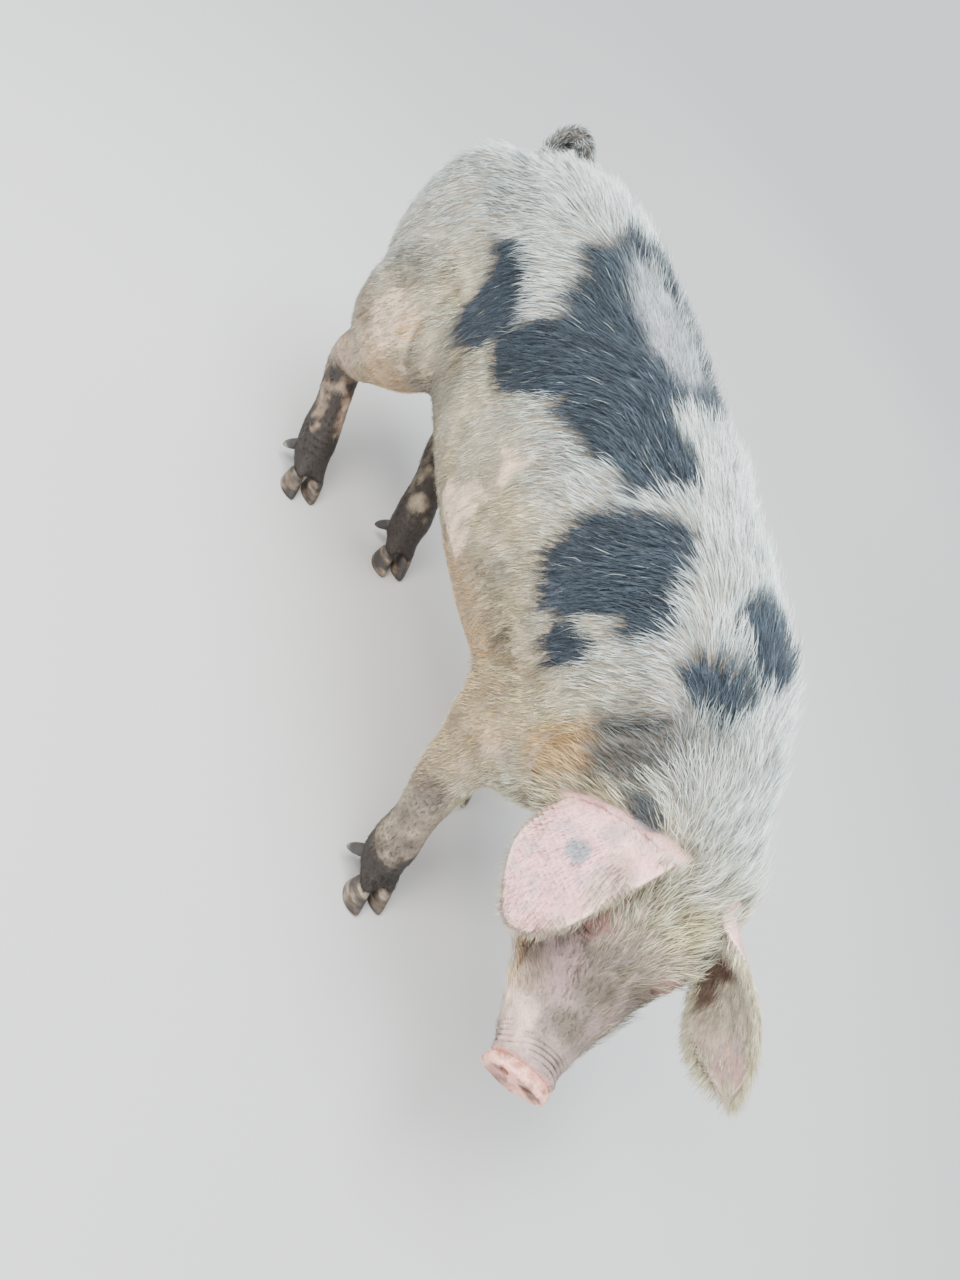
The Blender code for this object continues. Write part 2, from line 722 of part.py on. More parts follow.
def tail():
    """A curled tail: it leaves the rump, and loops up and over to the left of its root."""
    centre = Vector((0.040, 0.778, 0.716))
    points = [Vector((0.0, 0.690, 0.712)), Vector((0.0, 0.728, 0.692))]
    radii = [TAIL_RADIUS * 1.25, TAIL_RADIUS * 1.18]
    turns = 20
    for k in range(turns + 1):
        t = k / turns
        angle = math.radians(-115 + 345 * t)
        radius = TAIL_CURL_RADIUS * (1.0 - 0.16 * t)
        points.append(centre + Vector((-0.010 + 0.034 * t, radius * math.cos(angle), radius * math.sin(angle))))
        radii.append(TAIL_RADIUS * (1.08 - 0.62 * t))
    return bead("tail", points, radii, 2)


def eye_place(side, surface):
    """Where an eye sits: its centre, and the way it looks."""
    way = head_way(side * 0.86, 0.40, 0.30).normalized()
    start = on_head(side * 0.02, 0.118, -0.085)
    hit, _, _, _ = surface.ray_cast(start + way * 0.20, -way)
    return hit - way * (EYE_RADIUS - 0.0035), way


def add_face(head, surface):
    """Sockets and lids, the line of the mouth and the nostrils. It gives the eyes, as spheres."""
    eyes = []
    lids = []
    sockets = []
    for side, word in ((-1, "right"), (1, "left")):
        centre, way = eye_place(side, surface)
        eyes.append(ball("eye_" + word, centre, (EYE_RADIUS,) * 3, segments=14, rings=8))
        sockets.append(ball("socket", centre, (EYE_RADIUS + GAP,) * 3, segments=14, rings=8))
        ahead = (HEAD_FORWARD - way * HEAD_FORWARD.dot(way)).normalized()
        above = way.cross(ahead) * side
        above = above if above.dot(HEAD_UP) > 0 else -above
        for lift, thick in ((1, 0.0050), (-1, 0.0042)):
            path = []
            radii = []
            for k in range(11):
                turn = math.radians(-90 + 18 * k)
                tilt = math.radians(34 * math.cos(turn)) * lift
                flat = ahead * math.sin(turn) + way * math.cos(turn)
                reach = flat * math.cos(tilt) + above * math.sin(tilt)
                path.append(centre + reach * (EYE_RADIUS + 0.0030))
                radii.append(thick * (0.55 + 0.45 * math.cos(turn)))
            lids.append(bead("lid", path, radii, 2))
    for lid in lids:
        combine(head, lid, "UNION")
    path = mouth_path(surface)
    groove = bead("groove", path, [MOUTH_GROOVE * min(1.0, 0.4 + 0.25 * min(k, len(path) - 1 - k))
                                   for k in range(len(path))], 1)
    nostrils = [nostril(side) for side in (-1, 1)]
    for cutter in sockets + [groove] + nostrils:
        combine(head, cutter, "DIFFERENCE")
    drop(*lids, *sockets, groove, *nostrils)
    return eyes


def nostril(side):
    """The space of a nostril: an oval, set obliquely in the disc of the snout."""
    along = head_way(side * 0.45, 0.0, 1.0).normalized()
    inward = (HEAD_FORWARD + HEAD_LEFT * (side * 0.15)).normalized()
    across = along.cross(inward)
    centre = on_head(side * 0.0215, SNOUT_FRONT, SNOUT_CENTRE + 0.002)
    return ball("nostril", centre, (0.0062, 0.020, 0.0105), (across, inward, along), segments=12, rings=8)


def mouth_path(surface):
    """Points on the skin along the line of the mouth, from the right corner round the front to the left corner."""
    path = []
    for k in range(-12, 13):
        turn = math.radians(90 * k / 12)
        ahead = 0.325 - 0.120 * (1 - math.cos(turn)) ** 0.8
        level = -0.1655 + 0.012 * (1 - math.cos(turn)) ** 2
        start = on_head(0.0, ahead - 0.04 * math.cos(turn), level)
        way = head_way(math.sin(turn), math.cos(turn) * 0.9, 0.0).normalized()
        hit, _, _, _ = surface.ray_cast(start + way * 0.20, -way)
        if hit:
            path.append(hit)
    return path


def add_underside(torso):
    """Two rows of teats along the belly, and the vulva under the tail."""
    surface = surface_of(torso)
    forms = []
    for side in (-1, 1):
        for k in range(TEATS_EACH_SIDE):
            y = -0.125 + k * 0.070
            start = Vector((side * (0.072 + 0.004 * math.sin(k)), y, 0.20))
            hit, normal, _, _ = surface.ray_cast(start, UP)
            way = (normal * 0.8 - UP * 0.4).normalized()
            points = [hit + way * reach for reach in (-0.008, 0.002, 0.009, 0.014)]
            forms.append(bead("teat", points, (0.0088, 0.0075, 0.0060, 0.0036), 1))
    hit, _, _, _ = surface.ray_cast(Vector((0.0, 1.0, 0.585)), FORWARD)
    points = [hit + Vector((0.0, 0.006 * math.sin(t * 3.0) - 0.004, 0.030 - 0.062 * t)) for t in (0, 0.3, 0.6, 0.85, 1.0)]
    forms.append(bead("vulva", points, (0.010, 0.0165, 0.0175, 0.010, 0.004), 2))
    for form in forms:
        combine(torso, form, "UNION")
    drop(*forms)


def lock(root, way, out, length, width, rise, sway, sink=LOCK_SINK):
    """A flat tapered lock of bristles: it leaves the skin low, bends over along the lie and ends in a point."""
    across = way.cross(out).normalized()
    points, faces = [], []
    for share, height, breadth in LOCK_ROWS:
        centre = root + way * (length * share) + across * (sway * share * share)
        centre += out * (rise * height if height > 0 else sink * height)
        half = 0.5 * width * breadth
        points += [centre - across * half, centre + across * half, centre + out * (half * LOCK_RIDGE)]
    tip = root + way * length + across * sway + out * (rise * LOCK_TIP_HEIGHT)
    points.append(tip)
    for ring in range(len(LOCK_ROWS) - 1):
        for k in range(3):
            j = (k + 1) % 3
            faces.append((ring * 3 + k, ring * 3 + j, ring * 3 + 3 + j, ring * 3 + 3 + k))
    last = 3 * (len(LOCK_ROWS) - 1)
    faces += [(last + k, last + (k + 1) % 3, last + 3) for k in range(3)]
    faces.append((2, 1, 0))
    mesh = mesh_from("lock", points, faces)
    outward(mesh)
    return new_object("lock", mesh)


def add_locks(node, starts, chance):
    """Fuses locks into a node. A start is (place outside the skin, way to the skin, lie, length, width, rise)."""
    surface = surface_of(node)
    for start, inward, lie, length, width, rise in starts:
        hit, normal, _, _ = surface.ray_cast(Vector(start), Vector(inward))
        if not hit:
            continue
        lie = Vector(lie)
        turn = chance.uniform(-LOCK_STRAY, LOCK_STRAY)
        across = lie.cross(normal).normalized()
        way = (lie.normalized() + across * turn)
        way = (way - normal * way.dot(normal)).normalized()
        size = chance.uniform(0.85, 1.15)
        form = lock(hit, way, normal, length * size, width * size, rise * chance.uniform(0.8, 1.25),
                    length * chance.uniform(-0.12, 0.12))
        combine(node, form, "UNION")
        drop(form)
    return keep_largest(node)


def spine_locks():
    """Down both sides of the ridge of the back: the lie is backwards and outwards."""
    starts = []
    for k in range(SPINE_STATIONS):
        for side in (-1, 1):
            y = SPINE_LOCKS_FROM + (k + 0.25 + 0.25 * side) * SPINE_LOCK_STEP
            over_rump = max(0.0, y - 0.45)
            lie = (side * 0.50, 0.85, -0.2 - over_rump)
            starts.append(((side * 0.018, y, 1.1), (0, 0, -1), lie, 0.096, 0.040, 0.012))
    return starts


def neck_locks():
    """Over the crest of the neck, lying back towards the withers."""
    starts = []
    for k in range(5):
        x = -0.106 + 0.026 * k
        starts.append(((x, -0.500 + 0.10 * abs(x), 1.1), (0, 0, -1), (x * 3.0, 0.9, 0.2), 0.062, 0.036, 0.011))
    return starts


def head_locks():
    """Over the poll and forehead, and a fringe along each side of the jaw."""
    starts = []
    for ahead, count, rightmost, leftmost in HEAD_LOCK_ROWS:
        for k in range(count):
            across = rightmost + (leftmost - rightmost) * k / (count - 1)
            lie = head_way(across * 2.5, -0.85, 0.10)
            starts.append((on_head(across, ahead, 0.25), -HEAD_UP, lie, 0.074, 0.036, 0.011))
    for side in (-1, 1):
        for k in range(3):
            ahead = 0.125 + 0.052 * k
            start = on_head(side * 0.30, ahead, -0.205)
            lie = head_way(side * 0.25, -0.75, -0.75)
            starts.append((start, HEAD_LEFT * -side, lie, 0.048, 0.028, 0.009))
    return starts


def surface_name(node):
    return next(row[0] for row in SURFACES if any(word in node for word in row[1]))


def material(name, colour, roughness):
    mat = bpy.data.materials.new(name)
    mat.use_nodes = True
    shader = mat.node_tree.nodes["Principled BSDF"]
    shader.inputs["Base Color"].default_value = (*colour, 1.0)
    shader.inputs["Roughness"].default_value = roughness
    shader.inputs["Metallic"].default_value = 0.0
    return mat


def finish(nodes, collection):
    """Centres the animal over the origin with its soles at z 0, and gives each node its material."""
    corners = np.array([v.co for node in nodes for v in node.data.vertices])
    low, high = corners.min(axis=0), corners.max(axis=0)
    shift = Vector((-(low[0] + high[0]) / 2, -(low[1] + high[1]) / 2, -low[2]))
    materials = {row[0]: material(row[0], row[2], row[3]) for row in SURFACES}
    for node in nodes:
        node.data.transform(Matrix.Translation(shift))
        node.data.materials.clear()
        node.data.materials.append(materials[surface_name(node.name)])
        bpy.context.scene.collection.objects.unlink(node)
        collection.objects.link(node)
    return shift


def main():
    clear_scene()
    chance = random.Random(11)
    sow = new_collection("domestic_sow")
    body = flesh()
    legs = list(LEGS)
    coarse = decimated(duplicate(body, "coarse"), 4400)
    fine = decimated(duplicate(body, "fine"), 5600)
    finest = decimated(duplicate(body, "finest"), 8800)
    nodes = [part_out(coarse, "torso", legs + ["head", "neck"]), part_out(coarse, "neck", ["head"])]
    nodes += [part_out(fine, name, ["head", "neck"] if "front" in name else []) for name in legs]
    head = part_out(finest, "head")
    drop(body, coarse, fine, finest)
    eyes = add_face(head, surface_of(head))
    keep_largest(head)
    nodes += [head] + eyes
    torso = nodes[0]
    add_underside(torso)
    keep_largest(torso)
    nodes.append(cut_clear(tail(), torso))
    for node, starts in ((torso, spine_locks()), (nodes[1], neck_locks()), (head, head_locks())):
        add_locks(node, starts, chance)
    for name, edge_side, fringe in (("ear_left", 1, (2, 3, 4, 5, 6, 7)), ("ear_right", -1, (4, 5, 6, 7))):
        nodes.append(cut_clear(add_fringe(ear(name), edge_side, fringe, chance), head))
    for leg, obj in zip(legs, nodes[2:6]):
        for name, side, centre in foot_places(leg):
            nodes.append(cut_clear(hoof(name, side, centre, TOE_LENGTH, 0.020, 0.036), obj))
            nodes.append(cut_clear(dewclaw(name.replace("toe", "dewclaw"), side, leg), obj))
    return finish(nodes, sow)


SHIFT = main()
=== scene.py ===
"""The dressed model of a standing domestic sow: skin, bristly coat, eyes, hooves, studio and camera."""

import math

import bmesh
import bpy
import numpy as np
from mathutils import Matrix, Vector
from mathutils.bvhtree import BVHTree
from mathutils.kdtree import KDTree

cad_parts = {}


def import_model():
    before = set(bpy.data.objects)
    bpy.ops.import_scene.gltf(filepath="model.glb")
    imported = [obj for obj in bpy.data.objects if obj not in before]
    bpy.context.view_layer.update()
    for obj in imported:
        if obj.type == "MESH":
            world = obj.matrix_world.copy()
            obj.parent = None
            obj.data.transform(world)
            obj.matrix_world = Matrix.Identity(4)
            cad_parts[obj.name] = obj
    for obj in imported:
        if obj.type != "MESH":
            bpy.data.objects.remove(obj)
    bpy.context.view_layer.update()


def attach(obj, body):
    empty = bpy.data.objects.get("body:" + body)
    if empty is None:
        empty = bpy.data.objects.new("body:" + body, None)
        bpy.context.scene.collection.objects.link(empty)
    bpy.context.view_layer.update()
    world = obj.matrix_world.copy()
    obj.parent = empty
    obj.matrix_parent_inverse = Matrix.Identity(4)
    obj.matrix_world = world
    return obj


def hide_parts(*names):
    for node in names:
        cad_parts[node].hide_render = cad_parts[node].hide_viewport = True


# Driving dimensions of the animal, in metres, as in the solids.
HEAD_LENGTH = 0.385
EYE_RADIUS = 0.0125
TAIL_RADIUS = 0.0185
TAIL_CURL_RADIUS = 0.047
TOE_LENGTH = 0.062
DEWCLAW_LENGTH = 0.034
TEATS_EACH_SIDE = 7

# The size of the skin's first mesh, and the steps of the tail's path.
VOXEL = 0.0058
TAIL_STEPS = 70

LEFT = Vector((1.0, 0.0, 0.0))
UP = Vector((0.0, 0.0, 1.0))
FORWARD = Vector((0.0, -1.0, 0.0))

POLL = Vector((-0.026, -0.587, 0.599))
HEAD_TURN = math.radians(41.6)
HEAD_PITCH = math.radians(34.9)
HEAD_LEAN = math.radians(8.3)

# The joints of each leg, from the shoulder or hip down to the middle of the foot on the floor.
LEGS = {
    "leg_front_right": ((-0.128, -0.340, 0.56), (-0.150, -0.275, 0.41), (-0.154, -0.335, 0.225),
                        (-0.155, -0.392, 0.095), (-0.156, -0.440, 0.0)),
    "leg_front_left": ((0.128, -0.320, 0.56), (0.142, -0.255, 0.41), (0.118, -0.262, 0.225),
                       (0.098, -0.222, 0.095), (0.092, -0.240, 0.0)),
    "leg_hind_right": ((-0.110, 0.52, 0.60), (-0.155, 0.455, 0.43), (-0.168, 0.568, 0.235),
                       (-0.166, 0.470, 0.095), (-0.165, 0.410, 0.0)),
    "leg_hind_left": ((0.110, 0.50, 0.60), (0.125, 0.390, 0.43), (0.075, 0.455, 0.230),
                      (0.045, 0.325, 0.095), (0.040, 0.270, 0.0)),
}
# Sections of a leg from the top down: half width, reach forward and reach back.
FRONT_LEG_SIZES = (
    (0.070, 0.105, 0.110),
    (0.058, 0.088, 0.086),
    (0.046, 0.062, 0.064),
    (0.043, 0.050, 0.048),
    (0.036, 0.038, 0.042),
    (0.041, 0.040, 0.046),
    (0.041, 0.034, 0.038),
)
HIND_LEG_SIZES = (
    (0.085, 0.160, 0.160),
    (0.070, 0.100, 0.150),
    (0.056, 0.068, 0.090),
    (0.038, 0.052, 0.050),
    (0.034, 0.038, 0.040),
    (0.039, 0.040, 0.044),
    (0.040, 0.034, 0.038),
)
# The power of a section's outline: 1 gives an ellipse, and less a squarer one.
LEG_POWER = 0.95
# Sections of the trunk: place along Y, top, underside, half width and power.
TRUNK_ROWS = (
    (0.765, 0.640, 0.560, 0.030, 1.00),
    (0.740, 0.695, 0.500, 0.085, 0.95),
    (0.680, 0.750, 0.440, 0.140, 0.90),
    (0.575, 0.797, 0.400, 0.180, 0.88),
    (0.430, 0.819, 0.385, 0.198, 0.86),
    (0.240, 0.819, 0.345, 0.212, 0.86),
    (0.040, 0.809, 0.322, 0.230, 0.86),
    (-0.140, 0.795, 0.325, 0.226, 0.86),
    (-0.300, 0.780, 0.350, 0.206, 0.88),
    (-0.410, 0.732, 0.385, 0.154, 0.90),
    (-0.490, 0.680, 0.440, 0.102, 0.95),
)
# Sections of the head in its own frame: place ahead, top, underside, half width, power and narrowing.
HEAD_ROWS = (
    (-0.075, -0.050, -0.200, 0.085, 0.95, 0.05),
    (-0.035, -0.016, -0.228, 0.108, 0.90, 0.05),
    (0.015, 0.000, -0.242, 0.120, 0.85, 0.06),
    (0.065, -0.006, -0.248, 0.120, 0.83, 0.10),
    (0.115, -0.024, -0.246, 0.112, 0.84, 0.20),
    (0.165, -0.050, -0.238, 0.099, 0.86, 0.32),
    (0.215, -0.070, -0.222, 0.085, 0.86, 0.38),
    (0.265, -0.080, -0.202, 0.072, 0.84, 0.34),
    (0.310, -0.082, -0.182, 0.059, 0.82, 0.24),
    (0.345, -0.080, -0.166, 0.050, 0.82, 0.12),
    (0.364, -0.080, -0.156, 0.047, 0.82, 0.05),
)
# The same for the lower jaw.
JAW_ROWS = (
    (0.040, -0.150, -0.264, 0.102, 0.90, -0.10),
    (0.110, -0.156, -0.262, 0.100, 0.88, -0.10),
    (0.170, -0.162, -0.252, 0.088, 0.86, -0.10),
    (0.230, -0.168, -0.236, 0.068, 0.86, -0.10),
    (0.285, -0.170, -0.216, 0.047, 0.86, -0.10),
    (0.322, -0.170, -0.200, 0.030, 0.90, -0.10),
)
SNOUT_FRONT = HEAD_LENGTH + 0.004
SNOUT_CENTRE = -0.116
SNOUT_HALF_WIDTH = 0.054
SNOUT_HALF_HEIGHT = 0.041

# An ear: its root and tip on the head, the way its back faces, its widening and its share of the usual curl.
EARS = {
    "ear_right": ((-0.068, -0.054, 0.014), (-0.166, 0.222, -0.074), (-0.40, 0.02, 0.92), 0.26, 0.70),
    "ear_left": ((0.078, 0.026, -0.030), (0.206, 0.203, -0.010), (0.80, -0.60, 0.02), 0.0, 1.0),
}
# Rows of an ear: share of its length, half width behind and in front, curl in degrees and lift.
EAR_ROWS = (
    (-0.10, 0.046, 0.042, 220, 0.000),
    (0.04, 0.052, 0.046, 190, 0.006),
    (0.22, 0.068, 0.048, 116, 0.018),
    (0.42, 0.091, 0.050, 82, 0.024),
    (0.61, 0.102, 0.052, 64, 0.021),
    (0.79, 0.088, 0.050, 50, 0.011),
    (0.915, 0.052, 0.040, 42, 0.003),
    (1.00, 0.010, 0.014, 36, 0.000),
)

# How far the solids are moved to centre the animal over the origin.
CENTRING = Vector((0.0030, 0.0116, 0.0))

# The camera, in the animal's own frame before it is centred.
CAMERA_AT = Vector((-1.1632, -0.7888, 1.3314))
CAMERA_TO = Vector((-0.1784, -0.1621, 0.42))
CAMERA_ROLL = math.radians(55.69)
CAMERA_LENS = 26.86


def head_axes():
    """The head's own forward, left and up directions."""
    turned = Matrix.Rotation(-HEAD_TURN, 3, "Z") @ FORWARD
    left = UP.cross(turned).normalized()
    forward = (turned * math.cos(HEAD_PITCH) - UP * math.sin(HEAD_PITCH)).normalized()
    up = forward.cross(left)
    lean = Matrix.Rotation(HEAD_LEAN, 3, forward)
    return forward, lean @ left, lean @ up


HEAD_FORWARD, HEAD_LEFT, HEAD_UP = head_axes()
HEAD_AXES = (HEAD_LEFT, HEAD_FORWARD, HEAD_UP)


def head_way(across, ahead, above):
    return HEAD_LEFT * across + HEAD_FORWARD * ahead + HEAD_UP * above


def on_head(across, ahead, above):
    """A place in the head's own frame, from the poll: to the left, forward and up."""
    return POLL + head_way(across, ahead, above)


def in_head(points):
    """World points in the head's own frame: left, forward, up."""
    away = points - np.array(POLL)
    return np.stack([away @ np.array(axis) for axis in HEAD_AXES], axis=1)


# Mesh helpers.


def new_object(name, data):
    obj = bpy.data.objects.new(name, data)
    bpy.context.scene.collection.objects.link(obj)
    return obj


def mesh_from(name, points, faces):
    mesh = bpy.data.meshes.new(name)
    mesh.from_pydata([tuple(p) for p in points], [], faces)
    mesh.update()
    return mesh


def order_faces(obj):
    """Sorts the faces, each from its lowest corner on, as the Booleans leave them in no fixed order."""
    faces = []
    for face in obj.data.polygons:
        corners = list(face.vertices)
        first = corners.index(min(corners))
        faces.append(corners[first:] + corners[:first])
    old = obj.data
    obj.data = mesh_from("skin", points_of(old), sorted(faces))
    bpy.data.meshes.remove(old)


def outward(mesh):
    bm = bmesh.new()
    bm.from_mesh(mesh)
    bmesh.ops.recalc_face_normals(bm, faces=bm.faces)
    bm.to_mesh(mesh)
    bm.free()


def solid(name, points, faces):
    """A closed mesh with its faces turned outward, as an object."""
    mesh = mesh_from(name, points, faces)
    outward(mesh)
    return new_object(name, mesh)


def ring_faces(rings, sides):
    """Faces between rings of points that follow one another, and the caps at both ends."""
    faces = []
    for r in range(rings - 1):
        for k in range(sides):
            j = (k + 1) % sides
            faces.append((r * sides + k, r * sides + j, (r + 1) * sides + j, (r + 1) * sides + k))
    faces.append(tuple(range(sides))[::-1])
    faces.append(tuple((rings - 1) * sides + k for k in range(sides)))
    return faces


def shade_smooth(mesh):
    mesh.polygons.foreach_set("use_smooth", np.ones(len(mesh.polygons), bool))


def evaluated_mesh(obj):
    bpy.context.view_layer.update()
    graph = bpy.context.evaluated_depsgraph_get()
    return bpy.data.meshes.new_from_object(obj.evaluated_get(graph))


def apply_modifiers(obj):
    mesh = evaluated_mesh(obj)
    obj.modifiers.clear()
    old = obj.data
    obj.data = mesh
    bpy.data.meshes.remove(old)
    return obj


def drop(*objects):
    for obj in objects:
        bpy.data.objects.remove(obj)


def combine(obj, other, operation):
    """A Boolean on obj with other, applied, after which other is dropped."""
    step = obj.modifiers.new(operation.lower(), "BOOLEAN")
    step.operation = operation
    step.object = other
    step.solver = "MANIFOLD"
    apply_modifiers(obj)
    drop(other)
    return obj


def points_of(mesh):
    points = np.empty(len(mesh.vertices) * 3, np.float32)
    mesh.vertices.foreach_get("co", points)
    return points.reshape(-1, 3).astype(float)


def set_points(mesh, points):
    mesh.vertices.foreach_set("co", points.astype(np.float32).ravel())
    mesh.update()


def normals_of(mesh):
    normals = np.empty(len(mesh.vertices) * 3, np.float32)
    mesh.vertex_normals.foreach_get("vector", normals)
    return normals.reshape(-1, 3).astype(float)


def unit(vectors):
    return vectors / np.maximum(np.linalg.norm(vectors, axis=1, keepdims=True), 1e-9)


def smooth_step(low, high, values):
    t = np.clip((values - low) / (high - low), 0.0, 1.0)
    return t * t * (3 - 2 * t)


# What a cell's three numbers are multiplied by to pick its place in a table of random numbers.
NOISE_PRIMES = np.array((73856093, 19349663, 83492791))
NOISE_TABLE = 4096


def lattice_noise(points, size, seed):
    """Smooth noise from -1 to 1 whose swells are about this size."""
    table = np.random.default_rng(seed).uniform(-1, 1, NOISE_TABLE)
    scaled = points / size + 100.0
    cell = np.floor(scaled).astype(np.int64)
    part = scaled - cell
    part = part * part * (3 - 2 * part)
    total = np.zeros(len(points))
    for corner in range(8):
        step = np.array([corner & 1, corner >> 1 & 1, corner >> 2 & 1])
        key = np.bitwise_xor.reduce((cell + step) * NOISE_PRIMES, axis=1) % NOISE_TABLE
        share = np.where(step, part, 1 - part).prod(axis=1)
        total += table[key] * share
    return total


def curve_through(rows, per_span):
    """Rows of numbers as a smooth curve through them all, by the Catmull-Rom rule."""
    rows = np.array(rows, float)
    ends = np.vstack([2 * rows[0] - rows[1], rows, 2 * rows[-1] - rows[-2]])
    out = []
    for i in range(1, len(ends) - 2):
        a, b, c, d = ends[i - 1 : i + 3]
        for k in range(per_span):
            t = k / per_span
            out.append(0.5 * (2 * b + (c - a) * t + (2 * a - 5 * b + 4 * c - d) * t * t
                              + (3 * b - a - 3 * c + d) * t ** 3))
    out.append(rows[-1])
    return np.array(out)


def section(half_width, above, below, power, narrowing, angle):
    c, s = math.cos(angle), math.sin(angle)
    across = half_width * math.copysign(abs(c) ** power, c) * (1 - narrowing * s)
    rise = (above if s > 0 else below) * math.copysign(abs(s) ** power, s)
    return across, rise


def tube(name, stations, side, per_span=4, sides=24):
    """A closed tube. A station is (centre, half_width, above, below, power, narrowing)."""
    rows = curve_through([(*s[0], *s[1:]) for s in stations], per_span)
    centres = rows[:, :3]
    travel = np.gradient(centres, axis=0)
    points = []
    for centre, way, sizes in zip(centres, travel, rows[:, 3:]):
        t = Vector(way).normalized()
        across = (Vector(side) - t * t.dot(Vector(side))).normalized()
        rise = t.cross(across)
        sizes = (*np.maximum(sizes[:4], 0.001), sizes[4])
        for k in range(sides):
            a, u = section(*sizes, 2 * math.pi * k / sides)
            points.append(Vector(centre) + across * a + rise * u)
    return solid(name, points, ring_faces(len(rows), sides))


def primitive(name, centre, half, axes, make):
    bm = bmesh.new()
    make(bm)
    turn = Matrix([Vector(a).normalized() for a in axes]).transposed() if axes else Matrix.Identity(3)
    place = Matrix.Translation(Vector(centre)) @ turn.to_4x4() @ Matrix.Diagonal((*half, 1.0))
    bmesh.ops.transform(bm, matrix=place, verts=bm.verts)
    mesh = bpy.data.meshes.new(name)
    bm.to_mesh(mesh)
    bm.free()
    outward(mesh)
    return new_object(name, mesh)


def ball(name, centre, radii, axes=None, segments=24, rings=14):
    def make(bm):
        bmesh.ops.create_uvsphere(bm, u_segments=segments, v_segments=rings, radius=1.0)
    return primitive(name, centre, radii, axes, make)


def bead(name, points, radii, resolution=4):
    """A round bar along the points, as a closed mesh."""
    curve = bpy.data.curves.new(name, "CURVE")
    curve.dimensions = "3D"
    curve.bevel_depth = 1.0
    curve.bevel_resolution = resolution
    curve.use_fill_caps = True
    line = curve.splines.new("POLY")
    line.points.add(len(points) - 1)
    for point, place, radius in zip(line.points, points, radii):
        point.co = (*place, 1.0)
        point.radius = radius
    guide = new_object(name + "_path", curve)
    mesh = evaluated_mesh(guide)
    drop(guide)
    bm = bmesh.new()
    bm.from_mesh(mesh)
    bmesh.ops.remove_doubles(bm, verts=bm.verts, dist=1e-6)
    bmesh.ops.recalc_face_normals(bm, faces=bm.faces)
    bm.to_mesh(mesh)
    bm.free()
    return new_object(name, mesh)


# The share of each smoothing step that is taken back, so that a form keeps its size.
PULL_BACK = 0.52


def smoothed(mesh, points, rounds, strength=0.5, pull_back=0.0, weight=None):
    """The points of a mesh after smoothing. pull_back undoes the shrinking, and weight limits where."""
    edges = np.empty(len(mesh.edges) * 2, np.int32)
    mesh.edges.foreach_get("vertices", edges)
    edges = edges.reshape(-1, 2)
    if weight is not None:
        edges = edges[(weight[edges] > 1e-3).any(axis=1)]
    count = np.maximum(np.bincount(edges.ravel(), minlength=len(points)), 1)[:, None]
    factor = 1.0 if weight is None else weight[:, None]
    for _ in range(rounds):
        for step in (strength, -pull_back):
            if not step:
                continue
            total = np.zeros_like(points)
            for axis in range(3):
                total[:, axis] = (np.bincount(edges[:, 0], points[edges[:, 1], axis], len(points))
                                  + np.bincount(edges[:, 1], points[edges[:, 0], axis], len(points)))
            points = points + factor * step * (total / count - points)
    return points


def relax(obj, rounds, places=(), strength=0.5, pull_back=0.0, sharpness=1):
    """Smooths the mesh near the places, or all of it where none are given."""
    points = points_of(obj.data)
    weight = near(points, places) ** sharpness if places else None
    set_points(obj.data, smoothed(obj.data, points, rounds, strength, pull_back, weight))


def hollows(mesh):
    """How deep each point lies in a groove, in metres: how far the smoothed skin stands above it."""
    points = points_of(mesh)
    return ((smoothed(mesh, points, 10) - points) * normals_of(mesh)).sum(axis=1)


def near(points, places):
    """How near the points are to places, each a (centre, radius): 1 at a centre, and less further out."""
    weight = np.zeros(len(points))
    for place, radius in places:
        away = np.linalg.norm(points - np.array(place), axis=1) / radius
        weight = np.maximum(weight, np.exp(-away ** 2))
    return weight


# The body's forms, as in the solids.


def trunk():
    stations = []
    for y, top, low, half_width, power in TRUNK_ROWS:
        middle = low + 0.46 * (top - low)
        stations.append(((0.0, y, middle), half_width, top - middle, middle - low, power, 0.0))
    return tube("trunk", stations, LEFT, per_span=6, sides=56)


def head_tube(name, rows):
    stations = []
    for ahead, top, low, half_width, power, narrowing in rows:
        middle = low + 0.5 * (top - low)
        centre = on_head(0.0, ahead, middle)
        stations.append((centre, half_width, top - middle, middle - low, power, narrowing))
    return tube(name, stations, HEAD_LEFT, per_span=6, sides=48)


def snout_disc():
    half_thickness = 0.5 * (SNOUT_FRONT - HEAD_ROWS[-1][0]) + 0.002
    centre = on_head(0.0, SNOUT_FRONT - half_thickness, SNOUT_CENTRE)

    def make(bm):
        bmesh.ops.create_cone(bm, cap_ends=True, segments=48, radius1=1.0, radius2=1.0, depth=2.0)
    half = (SNOUT_HALF_WIDTH, SNOUT_HALF_HEIGHT, half_thickness)
    return primitive("snout_disc", centre, half, (HEAD_LEFT, HEAD_UP, HEAD_FORWARD), make)


def neck_form():
    stations = [
        ((0.0, -0.16, 0.590), 0.195, 0.200, 0.200, 0.9, 0.0),
        ((0.0, -0.30, 0.580), 0.184, 0.192, 0.195, 0.9, 0.0),
        ((-0.008, -0.42, 0.560), 0.148, 0.162, 0.172, 0.9, 0.0),
        ((-0.004, -0.50, 0.530), 0.125, 0.132, 0.148, 0.9, 0.0),
        (on_head(0.0, 0.0, -0.115), 0.112, 0.118, 0.122, 0.9, 0.0),
        (on_head(0.0, 0.05, -0.120), 0.095, 0.105, 0.110, 0.9, 0.0),
    ]
    return tube("neck_form", stations, LEFT, per_span=4, sides=40)


